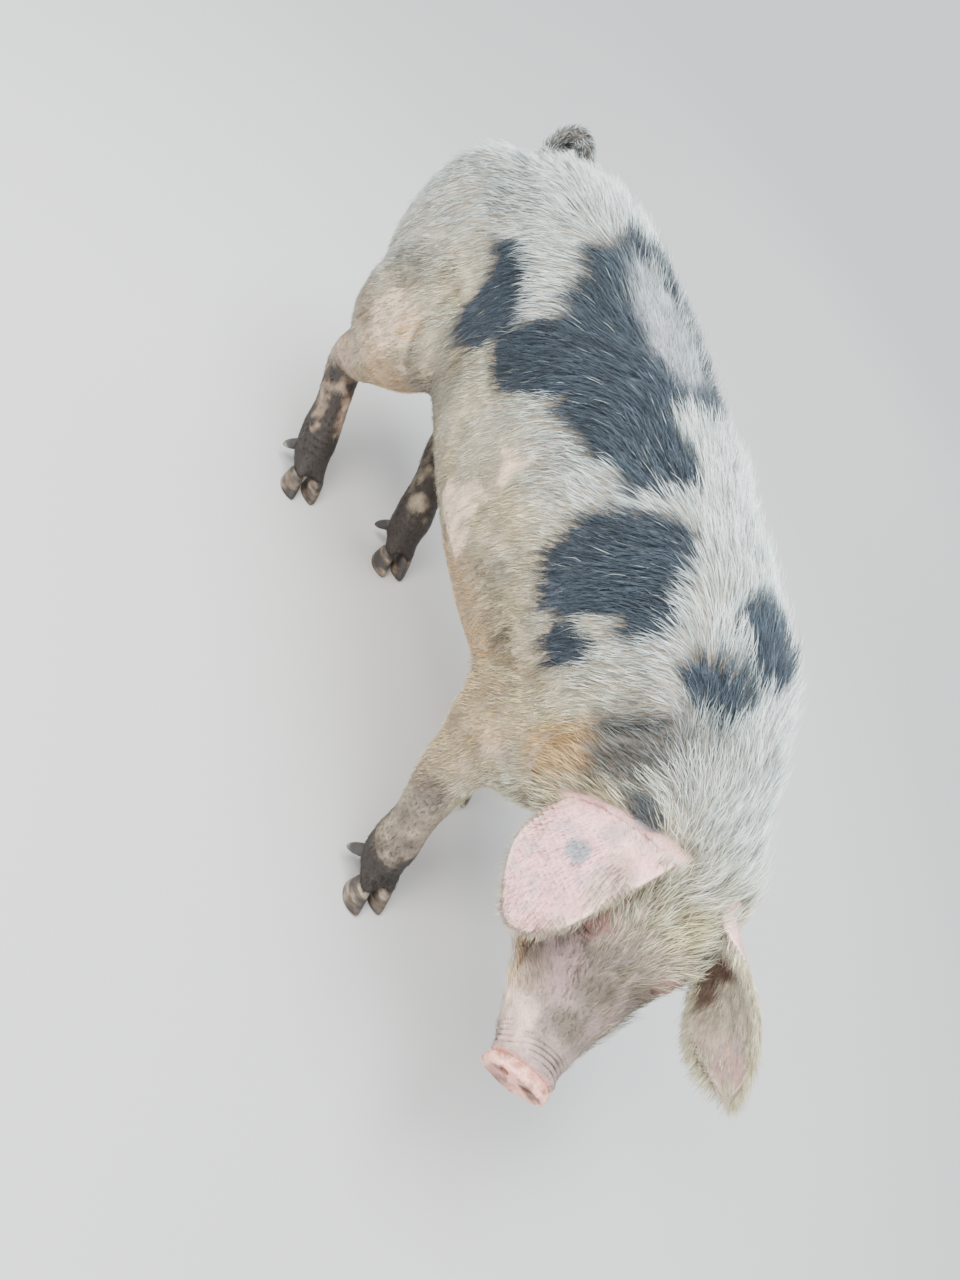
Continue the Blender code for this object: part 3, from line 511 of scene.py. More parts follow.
def leg_form(name):
    """A leg from its shoulder or hip down to the pad above the toes."""
    hind = "hind" in name
    top, upper, lower, fetlock, foot = (Vector(joint) for joint in LEGS[name])
    places = [top, upper, upper.lerp(lower, 0.55 if hind else 0.5), lower]
    places += [lower.lerp(fetlock, 0.5), fetlock, foot + Vector((0, 0.028, 0.052))]
    sizes = HIND_LEG_SIZES if hind else FRONT_LEG_SIZES
    stations = [(place, *size, LEG_POWER, 0.0) for place, size in zip(places, sizes)]
    return tube(name + "_form", stations, LEFT, per_span=5, sides=28)


def foot_places(name):
    """Both toes of a foot: (name, side, centre on the floor)."""
    foot = Vector(LEGS[name][-1])
    rows = []
    for side, word in ((-1, "right"), (1, "left")):
        rows.append((f"{name}_toe_{word}", side, foot + Vector((side * 0.023, 0.0, 0.0))))
    return rows


def muscles():
    forms = []
    for side in (-1, 1):
        forms.append(ball("ham", (side * 0.116, 0.588, 0.530), (0.104, 0.195, 0.215)))
        forms.append(ball("buttock", (side * 0.088, 0.660, 0.535), (0.090, 0.142, 0.165)))
        forms.append(ball("shoulder", (side * 0.118, -0.300, 0.530), (0.090, 0.165, 0.225)))
        forms.append(ball("cheek", on_head(side * 0.070, 0.070, -0.160), (0.056, 0.100, 0.085), HEAD_AXES))
        forms.append(ball("brow", on_head(side * 0.060, 0.112, -0.050), (0.030, 0.045, 0.028), HEAD_AXES))
    for name in LEGS:
        side = 1 if "left" in name else -1
        if "hind" in name:
            gaskin = Vector(LEGS[name][1]) + Vector((side * 0.010, 0.112, -0.014))
            forms.append(ball("gaskin", gaskin, (0.074, 0.095, 0.145)))
        for _, _, centre in foot_places(name):
            forms.append(ball("toe_pad", centre + Vector((0, 0.006, 0.048)), (0.0205, 0.032, 0.022)))
    return forms


def fused(name, forms, voxel):
    """All the forms as one closed skin, by a voxel remesh."""
    bm = bmesh.new()
    for form in forms:
        bm.from_mesh(form.data)
    drop(*forms)
    mesh = bpy.data.meshes.new(name)
    bm.to_mesh(mesh)
    bm.free()
    obj = new_object(name, mesh)
    remesh = obj.modifiers.new("remesh", "REMESH")
    remesh.mode = "VOXEL"
    remesh.voxel_size = voxel
    return apply_modifiers(obj)


def refined(obj, places):
    """Splits the faces near the places, so that they carry finer forms."""
    bm = bmesh.new()
    bm.from_mesh(obj.data)
    inside = [any((vert.co - place).length < radius for place, radius in places) for vert in bm.verts]
    chosen = [edge for edge in bm.edges if any(inside[vert.index] for vert in edge.verts)]
    bmesh.ops.subdivide_edges(bm, edges=chosen, cuts=1, use_grid_fill=True, smooth=0.0)
    bmesh.ops.triangulate(bm, faces=[face for face in bm.faces if len(face.verts) > 4])
    bm.to_mesh(obj.data)
    bm.free()
    return obj


def ear_frame(name, per_span):
    """The ear's front and back directions, and its outline's rows."""
    root, tip, back = (Vector(v) for v in EARS[name][:3])
    widening, tightness = EARS[name][3:]
    root, tip = on_head(*root), on_head(*tip)
    side = 1 if "left" in name else -1
    along = tip - root
    back = head_way(*back)
    back = (back - along * back.dot(along) / along.length_squared).normalized()
    front = along.cross(back).normalized() * side
    rows = []
    for share, rear_width, front_width, curl, lift in curve_through(EAR_ROWS, per_span):
        rear_width *= 1.0 + widening * (1.0 - share)
        radius = (rear_width + front_width) / math.radians(curl * tightness)
        rows.append((root + along * share + back * lift, rear_width, front_width, radius, share))
    return front, back, rows


def ear_place(front, back, row, reach):
    middle, radius = row[0], row[3]
    angle = reach / radius
    return middle + front * (radius * math.sin(angle)) - back * (radius * (1 - math.cos(angle)))


def ear(name):
    """A cupped leaf of cartilage and skin: thick at its root, thin and a little wavy at its edges."""
    front, back, rows = ear_frame(name, 7)
    steps = 44
    grid = np.empty((len(rows), steps + 1, 3))
    for i, row in enumerate(rows):
        _, rear_width, front_width, _, share = row
        for j in range(steps + 1):
            cross = j / steps
            place = ear_place(front, back, row, -rear_width + (rear_width + front_width) * cross)
            edge = abs(2 * cross - 1) ** 3
            wave = 0.0028 * edge * math.sin(share * 17 + (2.0 if cross > 0.5 else 0.0)) * min(1.0, 3 * share)
            grid[i, j] = place + back * max(-0.003, wave)
    du = np.gradient(grid, axis=0)
    dv = np.gradient(grid, axis=1)
    normal = np.cross(du, dv)
    normal /= np.maximum(np.linalg.norm(normal, axis=2, keepdims=True), 1e-9)
    if normal.mean(axis=(0, 1)) @ np.array(back) < 0:
        normal = -normal
    shares = np.array([row[4] for row in rows])[:, None]
    crosses = np.linspace(0, 1, steps + 1)[None, :]
    rim = np.minimum(np.minimum(crosses, 1 - crosses) * 9.0, 1.0)
    rim = rim * np.minimum((1.0 - shares) * 12 + 0.12, 1.0)
    half = (0.0012 + 0.0016 * (1 - shares) ** 1.5) * (0.35 + 0.65 * np.sqrt(rim))
    outer = grid + normal * half[..., None]
    inner = grid - normal * half[..., None]
    points = np.concatenate([outer.reshape(-1, 3), inner.reshape(-1, 3)])
    wide, tall = steps + 1, len(rows)
    lower = wide * tall
    faces = []
    for i in range(tall - 1):
        for j in range(steps):
            a, b = i * wide + j, (i + 1) * wide + j
            faces.append((a, a + 1, b + 1, b))
            faces.append((lower + b, lower + b + 1, lower + a + 1, lower + a))
    border = [(0, j) for j in range(steps)] + [(i, steps) for i in range(tall - 1)]
    border += [(tall - 1, j) for j in range(steps, 0, -1)] + [(i, 0) for i in range(tall - 1, 0, -1)]
    ring = [i * wide + j for i, j in border]
    for a, b in zip(ring, ring[1:] + ring[:1]):
        faces.append((b, a, lower + a, lower + b))
    return solid(name, points, faces)


def tail_path(count):
    centre = Vector((0.040, 0.778, 0.716))
    points = [Vector((0.0, 0.670, 0.716)), Vector((0.0, 0.700, 0.706)), Vector((0.0, 0.728, 0.692))]
    radii = [TAIL_RADIUS * 1.30, TAIL_RADIUS * 1.22, TAIL_RADIUS * 1.12]
    for k in range(count + 1):
        t = k / count
        angle = math.radians(-115 + 345 * t)
        radius = TAIL_CURL_RADIUS * (1.0 - 0.16 * t)
        turn = Vector((-0.010 + 0.034 * t, radius * math.cos(angle), radius * math.sin(angle)))
        points.append(centre + turn)
        radii.append(TAIL_RADIUS * (1.04 - 0.62 * t))
    return points, radii


def underside_forms(surface):
    """Two rows of teats along the belly, and the vulva under the tail."""
    forms = []
    for side in (-1, 1):
        for k in range(TEATS_EACH_SIDE):
            y = -0.125 + k * 0.070
            start = Vector((side * (0.072 + 0.004 * math.sin(k)), y, 0.20))
            hit, normal, _, _ = surface.ray_cast(start, UP)
            way = (normal * 0.8 - UP * 0.4).normalized()
            points = [hit + way * reach for reach in (-0.008, 0.0, 0.004, 0.009, 0.012, 0.014)]
            forms.append(bead("teat", points, (0.0095, 0.0085, 0.0070, 0.0062, 0.0054, 0.0034)))
    hit, _, _, _ = surface.ray_cast(Vector((0.0, 1.0, 0.585)), FORWARD)
    points = [hit + Vector((0.0, 0.006 * math.sin(t * 3.0) - 0.004, 0.030 - 0.062 * t))
              for t in (0, 0.2, 0.4, 0.6, 0.8, 0.9, 1.0)]
    forms.append(bead("vulva", points, (0.009, 0.014, 0.0168, 0.0172, 0.013, 0.009, 0.004)))
    return forms


def eye_place(side, surface):
    """Where an eye sits: its centre, and the way it looks."""
    way = head_way(side * 0.86, 0.40, 0.30).normalized()
    start = on_head(side * 0.02, 0.118, -0.085)
    hit, _, _, _ = surface.ray_cast(start + way * 0.20, -way)
    return hit - way * (EYE_RADIUS - 0.0035), way


def mouth_path(surface):
    """Points on the skin along the line of the mouth, from the right corner round to the left one."""
    path = []
    for k in range(-24, 25):
        turn = math.radians(90 * k / 24)
        ahead = 0.325 - 0.120 * (1 - math.cos(turn)) ** 0.8
        level = -0.1655 + 0.012 * (1 - math.cos(turn)) ** 2
        start = on_head(0.0, ahead - 0.04 * math.cos(turn), level)
        way = head_way(math.sin(turn), math.cos(turn) * 0.9, 0.0).normalized()
        hit, _, _, _ = surface.ray_cast(start + way * 0.20, -way)
        if hit:
            path.append(hit)
    return path


def surface_of(obj):
    obj.data.calc_loop_triangles()
    points = [v.co for v in obj.data.vertices]
    return BVHTree.FromPolygons(points, [t.vertices for t in obj.data.loop_triangles])


def distance_to_path(points, path):
    """The distance of each point to a broken line."""
    best = np.full(len(points), 9.0)
    path = np.array([tuple(p) for p in path])
    for a, b in zip(path, path[1:]):
        line = b - a
        share = np.clip((points - a) @ line / (line @ line), 0, 1)[:, None]
        best = np.minimum(best, np.linalg.norm(points - (a + share * line), axis=1))
    return best


def lids(eyes):
    """The thick upper and lower lid of each eye."""
    forms = []
    for side, centre, way in eyes:
        ahead = (HEAD_FORWARD - way * HEAD_FORWARD.dot(way)).normalized()
        above = way.cross(ahead) * side
        above = above if above.dot(HEAD_UP) > 0 else -above
        for lift, thick in ((1, 0.0046), (-1, 0.0038)):
            path, radii = [], []
            for k in range(21):
                turn = math.radians(-90 + 9 * k)
                tilt = math.radians(30 * math.cos(turn)) * lift
                flat = ahead * math.sin(turn) + way * math.cos(turn)
                reach = flat * math.cos(tilt) + above * math.sin(tilt)
                path.append(centre + reach * (EYE_RADIUS + 0.0026))
                radii.append(thick * (0.55 + 0.45 * math.cos(turn)))
            forms.append(bead("lid", path, radii))
    return forms


# The disc's face leans back by this angle, about its lower edge.
SNOUT_TILT = math.radians(17.0)
SNOUT_LOW = SNOUT_CENTRE - SNOUT_HALF_HEIGHT
# From one wrinkle of the snout's bridge to the next, and from one fold round an eye to the next.
WRINKLE_STEP = 0.0092
EYE_FOLD_STEP = 0.0088


def nostril_place(side):
    above = SNOUT_CENTRE + 0.004
    return on_head(side * 0.0205, SNOUT_FRONT - 0.003 - (above - SNOUT_LOW) * math.tan(SNOUT_TILT), above)


def carve_mouth(points, mouth, on_it):
    """The groove between the lips, and the lips' swell on both sides of it."""
    gap = np.full(len(points), 9.0)
    gap[on_it] = distance_to_path(points[on_it], mouth)
    return 0.0022 * np.exp(-((gap - 0.0085) / 0.0050) ** 2) - 0.0062 * np.exp(-(gap / 0.0030) ** 2)


def carve_snout(points, across, ahead, above):
    """Wrinkles over the bridge, the collar behind the disc, and the disc's sunk face, rim and groove."""
    wobble = 0.006 * lattice_noise(points, 0.035, 3)
    bridge = smooth_step(0.312, 0.330, ahead) * (1 - smooth_step(0.360, 0.368, ahead))
    bridge *= smooth_step(-0.160, -0.125, above)
    waves = np.sin((ahead + 0.55 * wobble - 7.0 * (across - 0.008) ** 2) * 2 * math.pi / WRINKLE_STEP)
    uneven = np.clip(0.65 + 0.7 * lattice_noise(points, 0.020, 15), 0.1, 1.2)
    move = bridge * uneven * (0.0010 - 0.0030 * smooth_step(0.20, 1.0, waves))
    move -= 0.0060 * np.exp(-((ahead - 0.3700) / 0.0040) ** 2)
    radial = np.hypot(across / SNOUT_HALF_WIDTH, (above - SNOUT_CENTRE) / SNOUT_HALF_HEIGHT)
    front = smooth_step(SNOUT_FRONT - 0.010, SNOUT_FRONT - 0.004, ahead)
    middle = np.exp(-(across / 0.006) ** 2)
    groove = np.exp(-((radial - 0.80) / 0.07) ** 2) * smooth_step(-0.02, 0.01, above - SNOUT_CENTRE)
    sunk = (1 - smooth_step(0.60, 0.86, radial)) * (1 - 0.6 * middle)
    rim = np.exp(-((radial - 0.93) / 0.10) ** 2)
    dimples = lattice_noise(points, 0.009, 14)
    return move + front * (0.0016 * rim + 0.0008 * dimples - 0.0030 * groove - 0.0042 * sunk)


def carve_eye(points, centre):
    """Rings of fine folds round an eye, deepest below it, and the groove round the lids."""
    away = np.linalg.norm(points - np.array(centre), axis=1)
    rings = np.sin(away * 2 * math.pi / EYE_FOLD_STEP + 1.2 + 0.9 * lattice_noise(points, 0.012, 8))
    fade = smooth_step(0.0155, 0.0200, away) * (1 - smooth_step(0.026, 0.052, away))
    level = (points - np.array(centre)) @ np.array(HEAD_UP)
    below = 0.45 + 0.55 * smooth_step(0.25, -0.25, level / 0.03)
    groove = np.exp(-((away - 0.0200) / 0.0050) ** 2) * (away > 0.0145)
    return 0.0013 * rings * fade * below - 0.0030 * groove


def carve_face(skin, eyes, mouth):
    """Folds, wrinkles, lips and the snout's rim, as small moves of the skin along its normals."""
    mesh = skin.data
    points, normals = points_of(mesh), normals_of(mesh)
    across, ahead, above = in_head(points).T
    on_it = near(points, [(on_head(0, 0.2, -0.12), 0.30)]) > 0.05
    move = carve_mouth(points, mouth, on_it) + carve_snout(points, across, ahead, above)
    for _, centre, _ in eyes:
        move += carve_eye(points, centre)
    creases = np.abs(lattice_noise(points, 0.018, 12)) * smooth_step(0.30, 0.10, ahead)
    move = (move - 0.0011 * creases) * on_it
    lean = smooth_step(0.250, 0.368, ahead) * on_it * math.tan(SNOUT_TILT)
    back = np.maximum(above - SNOUT_LOW, 0) * lean
    set_points(mesh, points + normals * move[:, None] - np.array(HEAD_FORWARD) * back[:, None])


# From one wrinkle above a leg's joint to the next.
JOINT_WRINKLE_STEP = 0.013
# Folds of the body: each is a line across the skin, its depth and its breadth.
BODY_FOLDS = (
    (((-0.150, -0.420, 0.420), (-0.196, -0.385, 0.500), (-0.194, -0.395, 0.590), (-0.150, -0.420, 0.680)),
     0.0060, 0.012),
    (((-0.192, -0.225, 0.355), (-0.215, -0.205, 0.430), (-0.222, -0.200, 0.500)), 0.0050, 0.013),
    (((-0.205, 0.395, 0.415), (-0.216, 0.428, 0.480), (-0.205, 0.440, 0.560)), 0.0060, 0.014),
    (((0.192, -0.205, 0.355), (0.215, -0.185, 0.430), (0.222, -0.180, 0.500)), 0.0050, 0.013),
    (((0.190, 0.330, 0.415), (0.210, 0.380, 0.480), (0.205, 0.410, 0.560)), 0.0060, 0.014),
    (((0.0, 0.700, 0.560), (0.0, 0.745, 0.480), (0.0, 0.700, 0.400)), 0.0090, 0.014),
)


def carve_body(skin):
    """Creases, muscle swells and the wrinkles above the joints, as small moves along the normals."""
    mesh = skin.data
    points, normals = points_of(mesh), normals_of(mesh)
    move = 0.0030 * lattice_noise(points, 0.085, 5) + 0.0012 * lattice_noise(points, 0.034, 6)
    for path, depth, breadth in BODY_FOLDS:
        gap = distance_to_path(points, curve_through(path, 5)) / breadth
        move += depth * (0.45 * np.exp(-(gap - 2.1) ** 2) - np.exp(-gap ** 2))
    height = points[:, 2] + 0.3 * lattice_noise(points, 0.03, 9) * 0.02
    wave = np.sin(height * 2 * math.pi / JOINT_WRINKLE_STEP)
    for joints in LEGS.values():
        for joint in joints[2:4]:
            gap = np.linalg.norm(points - np.array(joint), axis=1)
            move += 0.0011 * wave * np.exp(-(gap / 0.055) ** 2)
    low = points[:, 2] < 0.10
    move[low] *= 0.4
    head = near(points, [(on_head(0, 0.20, -0.12), 0.20)])
    move *= 1 - 0.9 * head
    cover = 0.0030 * (1 - head) * smooth_step(0.10, 0.30, points[:, 2])
    set_points(mesh, points + normals * (move - cover)[:, None])


def form_joints():
    """Places where forms meet, and where the skin is drawn smooth over them."""
    joints = [((0.0, -0.44, 0.60), 0.22), (on_head(0.0, -0.03, -0.10), 0.12), ((0.0, 0.66, 0.60), 0.16)]
    joints += [((side * 0.12, -0.32, 0.72), 0.17) for side in (-1, 1)]
    for top, upper, _, _, foot in LEGS.values():
        joints += [(top, 0.20), (upper, 0.11), (Vector(foot) + UP * 0.06, 0.045)]
    return joints


def build_face(skin, eyes, mouth):
    """Finer faces where the face needs them, then its lids, folds, sockets and nostrils."""
    face = [(on_head(0, 0.14, -0.10), 0.17), (on_head(0, 0.28, -0.13), 0.15)]
    fine = [(centre, 0.040) for _, centre, _ in eyes] + [(on_head(0, 0.35, -0.12), 0.085)]
    fine += [(place, 0.016) for place in mouth]
    refined(skin, face)
    relax(skin, 6, face, pull_back=PULL_BACK)
    refined(skin, fine)
    relax(skin, 4, fine, pull_back=PULL_BACK)
    for form in lids(eyes):
        combine(skin, form, "UNION")
    relax(skin, 3, [(centre + way * 0.006, 0.016) for _, centre, way in eyes])
    carve_face(skin, eyes, mouth)
    for _, centre, _ in eyes:
        combine(skin, ball("socket", centre, (EYE_RADIUS + 0.0004,) * 3, segments=40, rings=24), "DIFFERENCE")
    for side in (-1, 1):
        along = head_way(side * 0.70, 0.0, 0.75).normalized()
        inward = (HEAD_FORWARD + HEAD_LEFT * (side * 0.15) + HEAD_UP * math.tan(SNOUT_TILT)).normalized()
        axes = (along.cross(inward), inward, along)
        hole = ball("nostril", nostril_place(side), (0.0070, 0.020, 0.0125), axes, 40, 24)
        combine(skin, hole, "DIFFERENCE")
    relax(skin, 2, [(nostril_place(side), 0.014) for side in (-1, 1)], strength=0.4)


def build_skin():
    """One closed skin over trunk, neck, head, legs, ears and tail. It gives the skin and the eyes' places."""
    forms = [trunk(), neck_form(), head_tube("head_form", HEAD_ROWS), head_tube("jaw_form", JAW_ROWS)]
    forms += [snout_disc()] + muscles() + [leg_form(name) for name in LEGS]
    skin = fused("skin", forms, VOXEL)
    relax(skin, 160, form_joints())
    relax(skin, 14, pull_back=PULL_BACK)
    carve_body(skin)
    surface = surface_of(skin)
    eyes = [(side, *eye_place(side, surface)) for side in (-1, 1)]
    build_face(skin, eyes, mouth_path(surface))
    path, radii = tail_path(TAIL_STEPS)
    forms = underside_forms(surface_of(skin)) + [bead("tail_form", path, radii, 6)]
    for form in forms + [ear(name) for name in EARS]:
        combine(skin, form, "UNION")
    seams = [((0.0, 0.715, 0.70), 0.030)]
    for name in EARS:
        _, _, rows = ear_frame(name, 2)
        seams += [(row[0], 0.045) for row in rows[1:3]]
    relax(skin, 6, seams, sharpness=2)
    order_faces(skin)
    return skin, eyes


# Colours of the hair, in linear light.
# White hair, with a blue-green tint that is a painted reflection of the sky.
WHITE_HAIR_WITH_SKY_REFLECTION = np.array((0.85, 0.97, 0.96))
CREAM_HAIR = np.array((0.95, 0.83, 0.48))
DARK_HAIR = np.array((0.062, 0.086, 0.112))
GREY_HAIR = np.array((0.115, 0.118, 0.118))
TAN_HAIR = np.array((1.0, 0.63, 0.29))
# Brown-tan hair low on the flank, made darker there as painted shade of the underside.
LOW_FLANK_TAN_AND_SHADE_HAIR = np.array((0.28, 0.21, 0.11))
FACE_HAIR = np.array((0.46, 0.39, 0.27))
GRIMY_HAIR = np.array((0.13, 0.115, 0.085))
PINK_FACE_HAIR = np.array((0.98, 0.84, 0.72))
EAR_HAIR = np.array((1.0, 0.64, 0.60))
EAR_LONG_HAIR = CREAM_HAIR * (1.0, 1.05, 1.35)
FRINGE_HAIR = CREAM_HAIR * (1.0, 1.03, 1.2)

# Colours of the skin, and of the dirt on it.
PALE_SKIN = np.array((0.48, 0.40, 0.28))
PINK_SKIN = np.array((0.92, 0.69, 0.52))
LEG_SKIN = np.array((0.64, 0.44, 0.30))
LILAC_SKIN = np.array((0.36, 0.37, 0.42))
DARK_SKIN = np.array((0.055, 0.070, 0.092))
GREY_SKIN = np.array((0.16, 0.14, 0.12))
FACE_SKIN = np.array((0.34, 0.25, 0.22))
PINK_FACE_SKIN = np.array((0.96, 0.68, 0.58))
PURPLE_SKIN = np.array((0.36, 0.25, 0.25))
DIRTY_SKIN = np.array((0.13, 0.105, 0.08))
EYE_FOLD_SKIN = np.array((0.25, 0.13, 0.11))
MUZZLE_SKIN = np.array((0.36, 0.27, 0.25))
SNOUT_SKIN = np.array((0.98, 0.52, 0.42))
RIM_SKIN = np.array((0.46, 0.19, 0.11))
EAR_SKIN = np.array((1.0, 0.55, 0.54))
EAR_YELLOW_SKIN = np.array((0.62, 0.50, 0.40))
EAR_RIM_SKIN = np.array((1.0, 0.86, 0.66))
EAR_GREY = np.array((0.30, 0.31, 0.34))
# Painted shade in the ears' hollows, on their skin and hair.
HOLLOW_SHADE_SKIN = np.array((0.16, 0.085, 0.062))
SMEAR = np.array((0.13, 0.09, 0.065))
MUD = np.array((0.036, 0.030, 0.026))

# Markings of the trunk, as outlines on its skin rolled out flat: distance back along Y, and reach round
# from the spine, to the left positive. The right side's follow the animal, and the left side's match
# them in size and number.
DARK_PATCHES = (
    ((0.362, -0.093), (0.415, -0.020), (0.400, 0.045), (0.340, 0.075), (0.290, 0.130), (0.215, 0.205),
     (0.120, 0.250), (0.040, 0.215), (0.015, 0.130), (0.055, 0.050), (0.050, 0.000), (0.040, -0.044),
     (0.018, -0.080), (-0.030, -0.057), (-0.079, -0.051), (-0.112, -0.074), (-0.104, -0.123),
     (-0.096, -0.150), (-0.053, -0.157), (-0.015, -0.180), (0.032, -0.200), (0.094, -0.202),
     (0.134, -0.246), (0.182, -0.290), (0.250, -0.280), (0.275, -0.269), (0.268, -0.233),
     (0.236, -0.177), (0.231, -0.150), (0.270, -0.142), (0.313, -0.116)),
    ((0.453, -0.224), (0.426, -0.184), (0.362, -0.195), (0.306, -0.210), (0.280, -0.248),
     (0.279, -0.302), (0.320, -0.352), (0.364, -0.363), (0.391, -0.312), (0.387, -0.253)),
    ((-0.112, -0.202), (-0.123, -0.154), (-0.155, -0.108), (-0.186, -0.078), (-0.217, -0.095),
     (-0.245, -0.118), (-0.287, -0.144), (-0.302, -0.174), (-0.300, -0.200), (-0.260, -0.209),
     (-0.241, -0.239), (-0.220, -0.295), (-0.200, -0.323), (-0.166, -0.302), (-0.129, -0.265),
     (-0.118, -0.240)),
    ((-0.245, -0.332), (-0.233, -0.309), (-0.243, -0.278), (-0.265, -0.259), (-0.283, -0.272),
     (-0.293, -0.298), (-0.275, -0.333)),
    ((-0.356, -0.148), (-0.349, -0.123), (-0.361, -0.090), (-0.379, -0.056), (-0.410, -0.046),
     (-0.426, -0.061), (-0.416, -0.115), (-0.406, -0.140), (-0.383, -0.150)),
    ((-0.316, -0.058), (-0.290, -0.050), (-0.262, 0.000), (-0.275, 0.050), (-0.310, 0.085),
     (-0.350, 0.090), (-0.390, 0.050), (-0.405, 0.000), (-0.385, -0.030), (-0.350, -0.040)),
    ((0.500, 0.150), (0.545, 0.215), (0.530, 0.300), (0.470, 0.370), (0.395, 0.350), (0.385, 0.270),
     (0.430, 0.210), (0.440, 0.150)),
    ((-0.020, 0.290), (-0.045, 0.350), (-0.110, 0.385), (-0.140, 0.330), (-0.105, 0.265),
     (-0.050, 0.245)),
    ((-0.215, 0.150), (-0.290, 0.130), (-0.350, 0.170), (-0.345, 0.250), (-0.375, 0.330),
     (-0.310, 0.400), (-0.240, 0.365), (-0.250, 0.290), (-0.195, 0.230)),
)
# Skin with hardly any hair, that shows lilac grey through it.
THIN_PATCHES = (
    ((0.350, -0.046), (0.370, 0.023), (0.258, 0.050), (0.110, 0.045), (0.075, -0.022), (0.145, -0.062),
     (0.244, -0.068)),
)
# Bare, scurfy pink patches low on the flank.
PINK_PATCHES = (
    ((0.073, -0.314), (0.057, -0.280), (0.025, -0.281), (0.011, -0.300), (0.004, -0.331),
     (0.044, -0.321)),
    ((0.086, -0.418), (0.052, -0.373), (0.014, -0.372), (-0.019, -0.405), (-0.033, -0.449),
     (0.036, -0.479), (0.099, -0.485)),
    ((0.150, 0.370), (0.080, 0.340), (0.030, 0.380), (0.060, 0.450), (0.130, 0.440)),
)


def flat_trunk(points):
    """The trunk's skin rolled out: distance back along Y, and reach round from the spine."""
    return np.stack([points[:, 1], np.arctan2(points[:, 0], points[:, 2] - 0.56) * 0.22], axis=1)


def depth_in(flat, outline):
    """How far inside an outline each flat place lies, in metres, and negative outside."""
    outline = np.array(outline)
    gap = np.full(len(flat), 9.0)
    inside = np.zeros(len(flat), bool)
    for a, b in zip(outline, np.roll(outline, -1, axis=0)):
        line = b - a
        share = np.clip((flat - a) @ line / (line @ line), 0, 1)[:, None]
        gap = np.minimum(gap, np.linalg.norm(flat - (a + share * line), axis=1))
        crosses = (a[1] > flat[:, 1]) != (b[1] > flat[:, 1])
        level = a[0] + (flat[:, 1] - a[1]) / (line[1] if line[1] else 1e-9) * line[0]
        inside ^= crosses & (flat[:, 0] < level)
    return np.where(inside, gap, -gap)


def patches(points, outlines, edge=0.006, rough=0.010, seed=61, spread=0.0):
    """How far the patches cover each point of the trunk, from 0 to 1, with ragged edges."""
    flat = flat_trunk(points)
    ragged = rough * (lattice_noise(points, 0.026, seed) + 0.6 * lattice_noise(points, 0.011, seed + 1))
    depth = np.full(len(points), -9.0)
    for outline in outlines:
        depth = np.maximum(depth, depth_in(flat, outline))
    cover = smooth_step(-edge, edge, depth + spread + ragged)
    cover[(points[:, 2] < 0.36) | (points[:, 1] < -0.45)] = 0.0
    return cover


# Other markings. A blot is a centre and its reach each way, and the share of full strength.
DARK_BLOTS = (
    ((-0.126, -0.506, 0.597), (0.030, 0.027, 0.021), 0.9),
    ((-0.127, 0.626, 0.735), (0.012, 0.012, 0.012), 0.8),
)
GREY_BLOTS = (
    ((-0.160, -0.425, 0.625), (0.075, 0.050, 0.085), 1.0),
    ((-0.108, -0.432, 0.690), (0.060, 0.045, 0.052), 0.55),
    ((-0.150, 0.560, 0.700), (0.050, 0.080, 0.060), 0.35),
    ((-0.216, 0.548, 0.500), (0.050, 0.050, 0.045), 0.6),
    ((-0.200, 0.300, 0.490), (0.050, 0.070, 0.080), 0.6),
    ((-0.180, 0.310, 0.400), (0.060, 0.110, 0.050), 0.7),
    ((0.160, -0.430, 0.600), (0.070, 0.060, 0.090), 0.9),
    ((0.180, 0.250, 0.430), (0.060, 0.130, 0.060), 0.6),
    ((-0.188, -0.359, 0.256), (0.030, 0.030, 0.032), 1.0),
    ((-0.160, -0.400, 0.150), (0.018, 0.018, 0.016), 0.8),
)
BARE_BLOTS = (
    ((-0.222, 0.485, 0.425), (0.050, 0.060, 0.060), 0.65),
    ((-0.196, -0.335, 0.414), (0.030, 0.030, 0.030), 0.5),
    ((0.0, 0.100, 0.330), (0.130, 0.400, 0.060), 0.8),
)
TAN_BLOTS = (
    ((-0.186, -0.390, 0.530), (0.044, 0.052, 0.064), 1.0),
    ((-0.212, 0.435, 0.468), (0.040, 0.030, 0.032), 0.9),
    ((-0.170, 0.420, 0.350), (0.060, 0.060, 0.060), 0.6),
    ((-0.190, -0.280, 0.370), (0.060, 0.080, 0.150), 0.55),
    ((-0.205, -0.130, 0.400), (0.060, 0.170, 0.080), 0.70),
    ((-0.150, -0.615, 0.305), (0.060, 0.050, 0.036), 0.95),
    ((0.186, -0.380, 0.520), (0.036, 0.046, 0.050), 0.8),
    (tuple(on_head(-0.085, 0.200, -0.185)), (0.036, 0.060, 0.030), 0.8),
)


def blots(points, rows, edge=0.16, rough=0.16, seed=21):
    """How far a marking covers each point, from 0 to 1, with ragged edges."""
    ragged = rough * (lattice_noise(points, 0.020, seed) + 0.6 * lattice_noise(points, 0.009, seed + 1))
    cover = np.zeros(len(points))
    for centre, reach, strength in rows:
        away = np.linalg.norm((points - np.array(centre)) / np.array(reach), axis=1)
        cover = np.maximum(cover, strength * smooth_step(1.0 + edge, 1.0 - edge, away + ragged))
    return cover


def dark_share(points):
    return np.maximum(patches(points, DARK_PATCHES, spread=0.006), blots(points, DARK_BLOTS))


def thin_share(points):
    return patches(points, THIN_PATCHES, 0.014, 0.012, 67)


def scurf_share(points):
    return patches(points, PINK_PATCHES, 0.004, 0.022, 65)


def grey_share(points):
    return blots(points, GREY_BLOTS, 0.40, 0.25, 27)


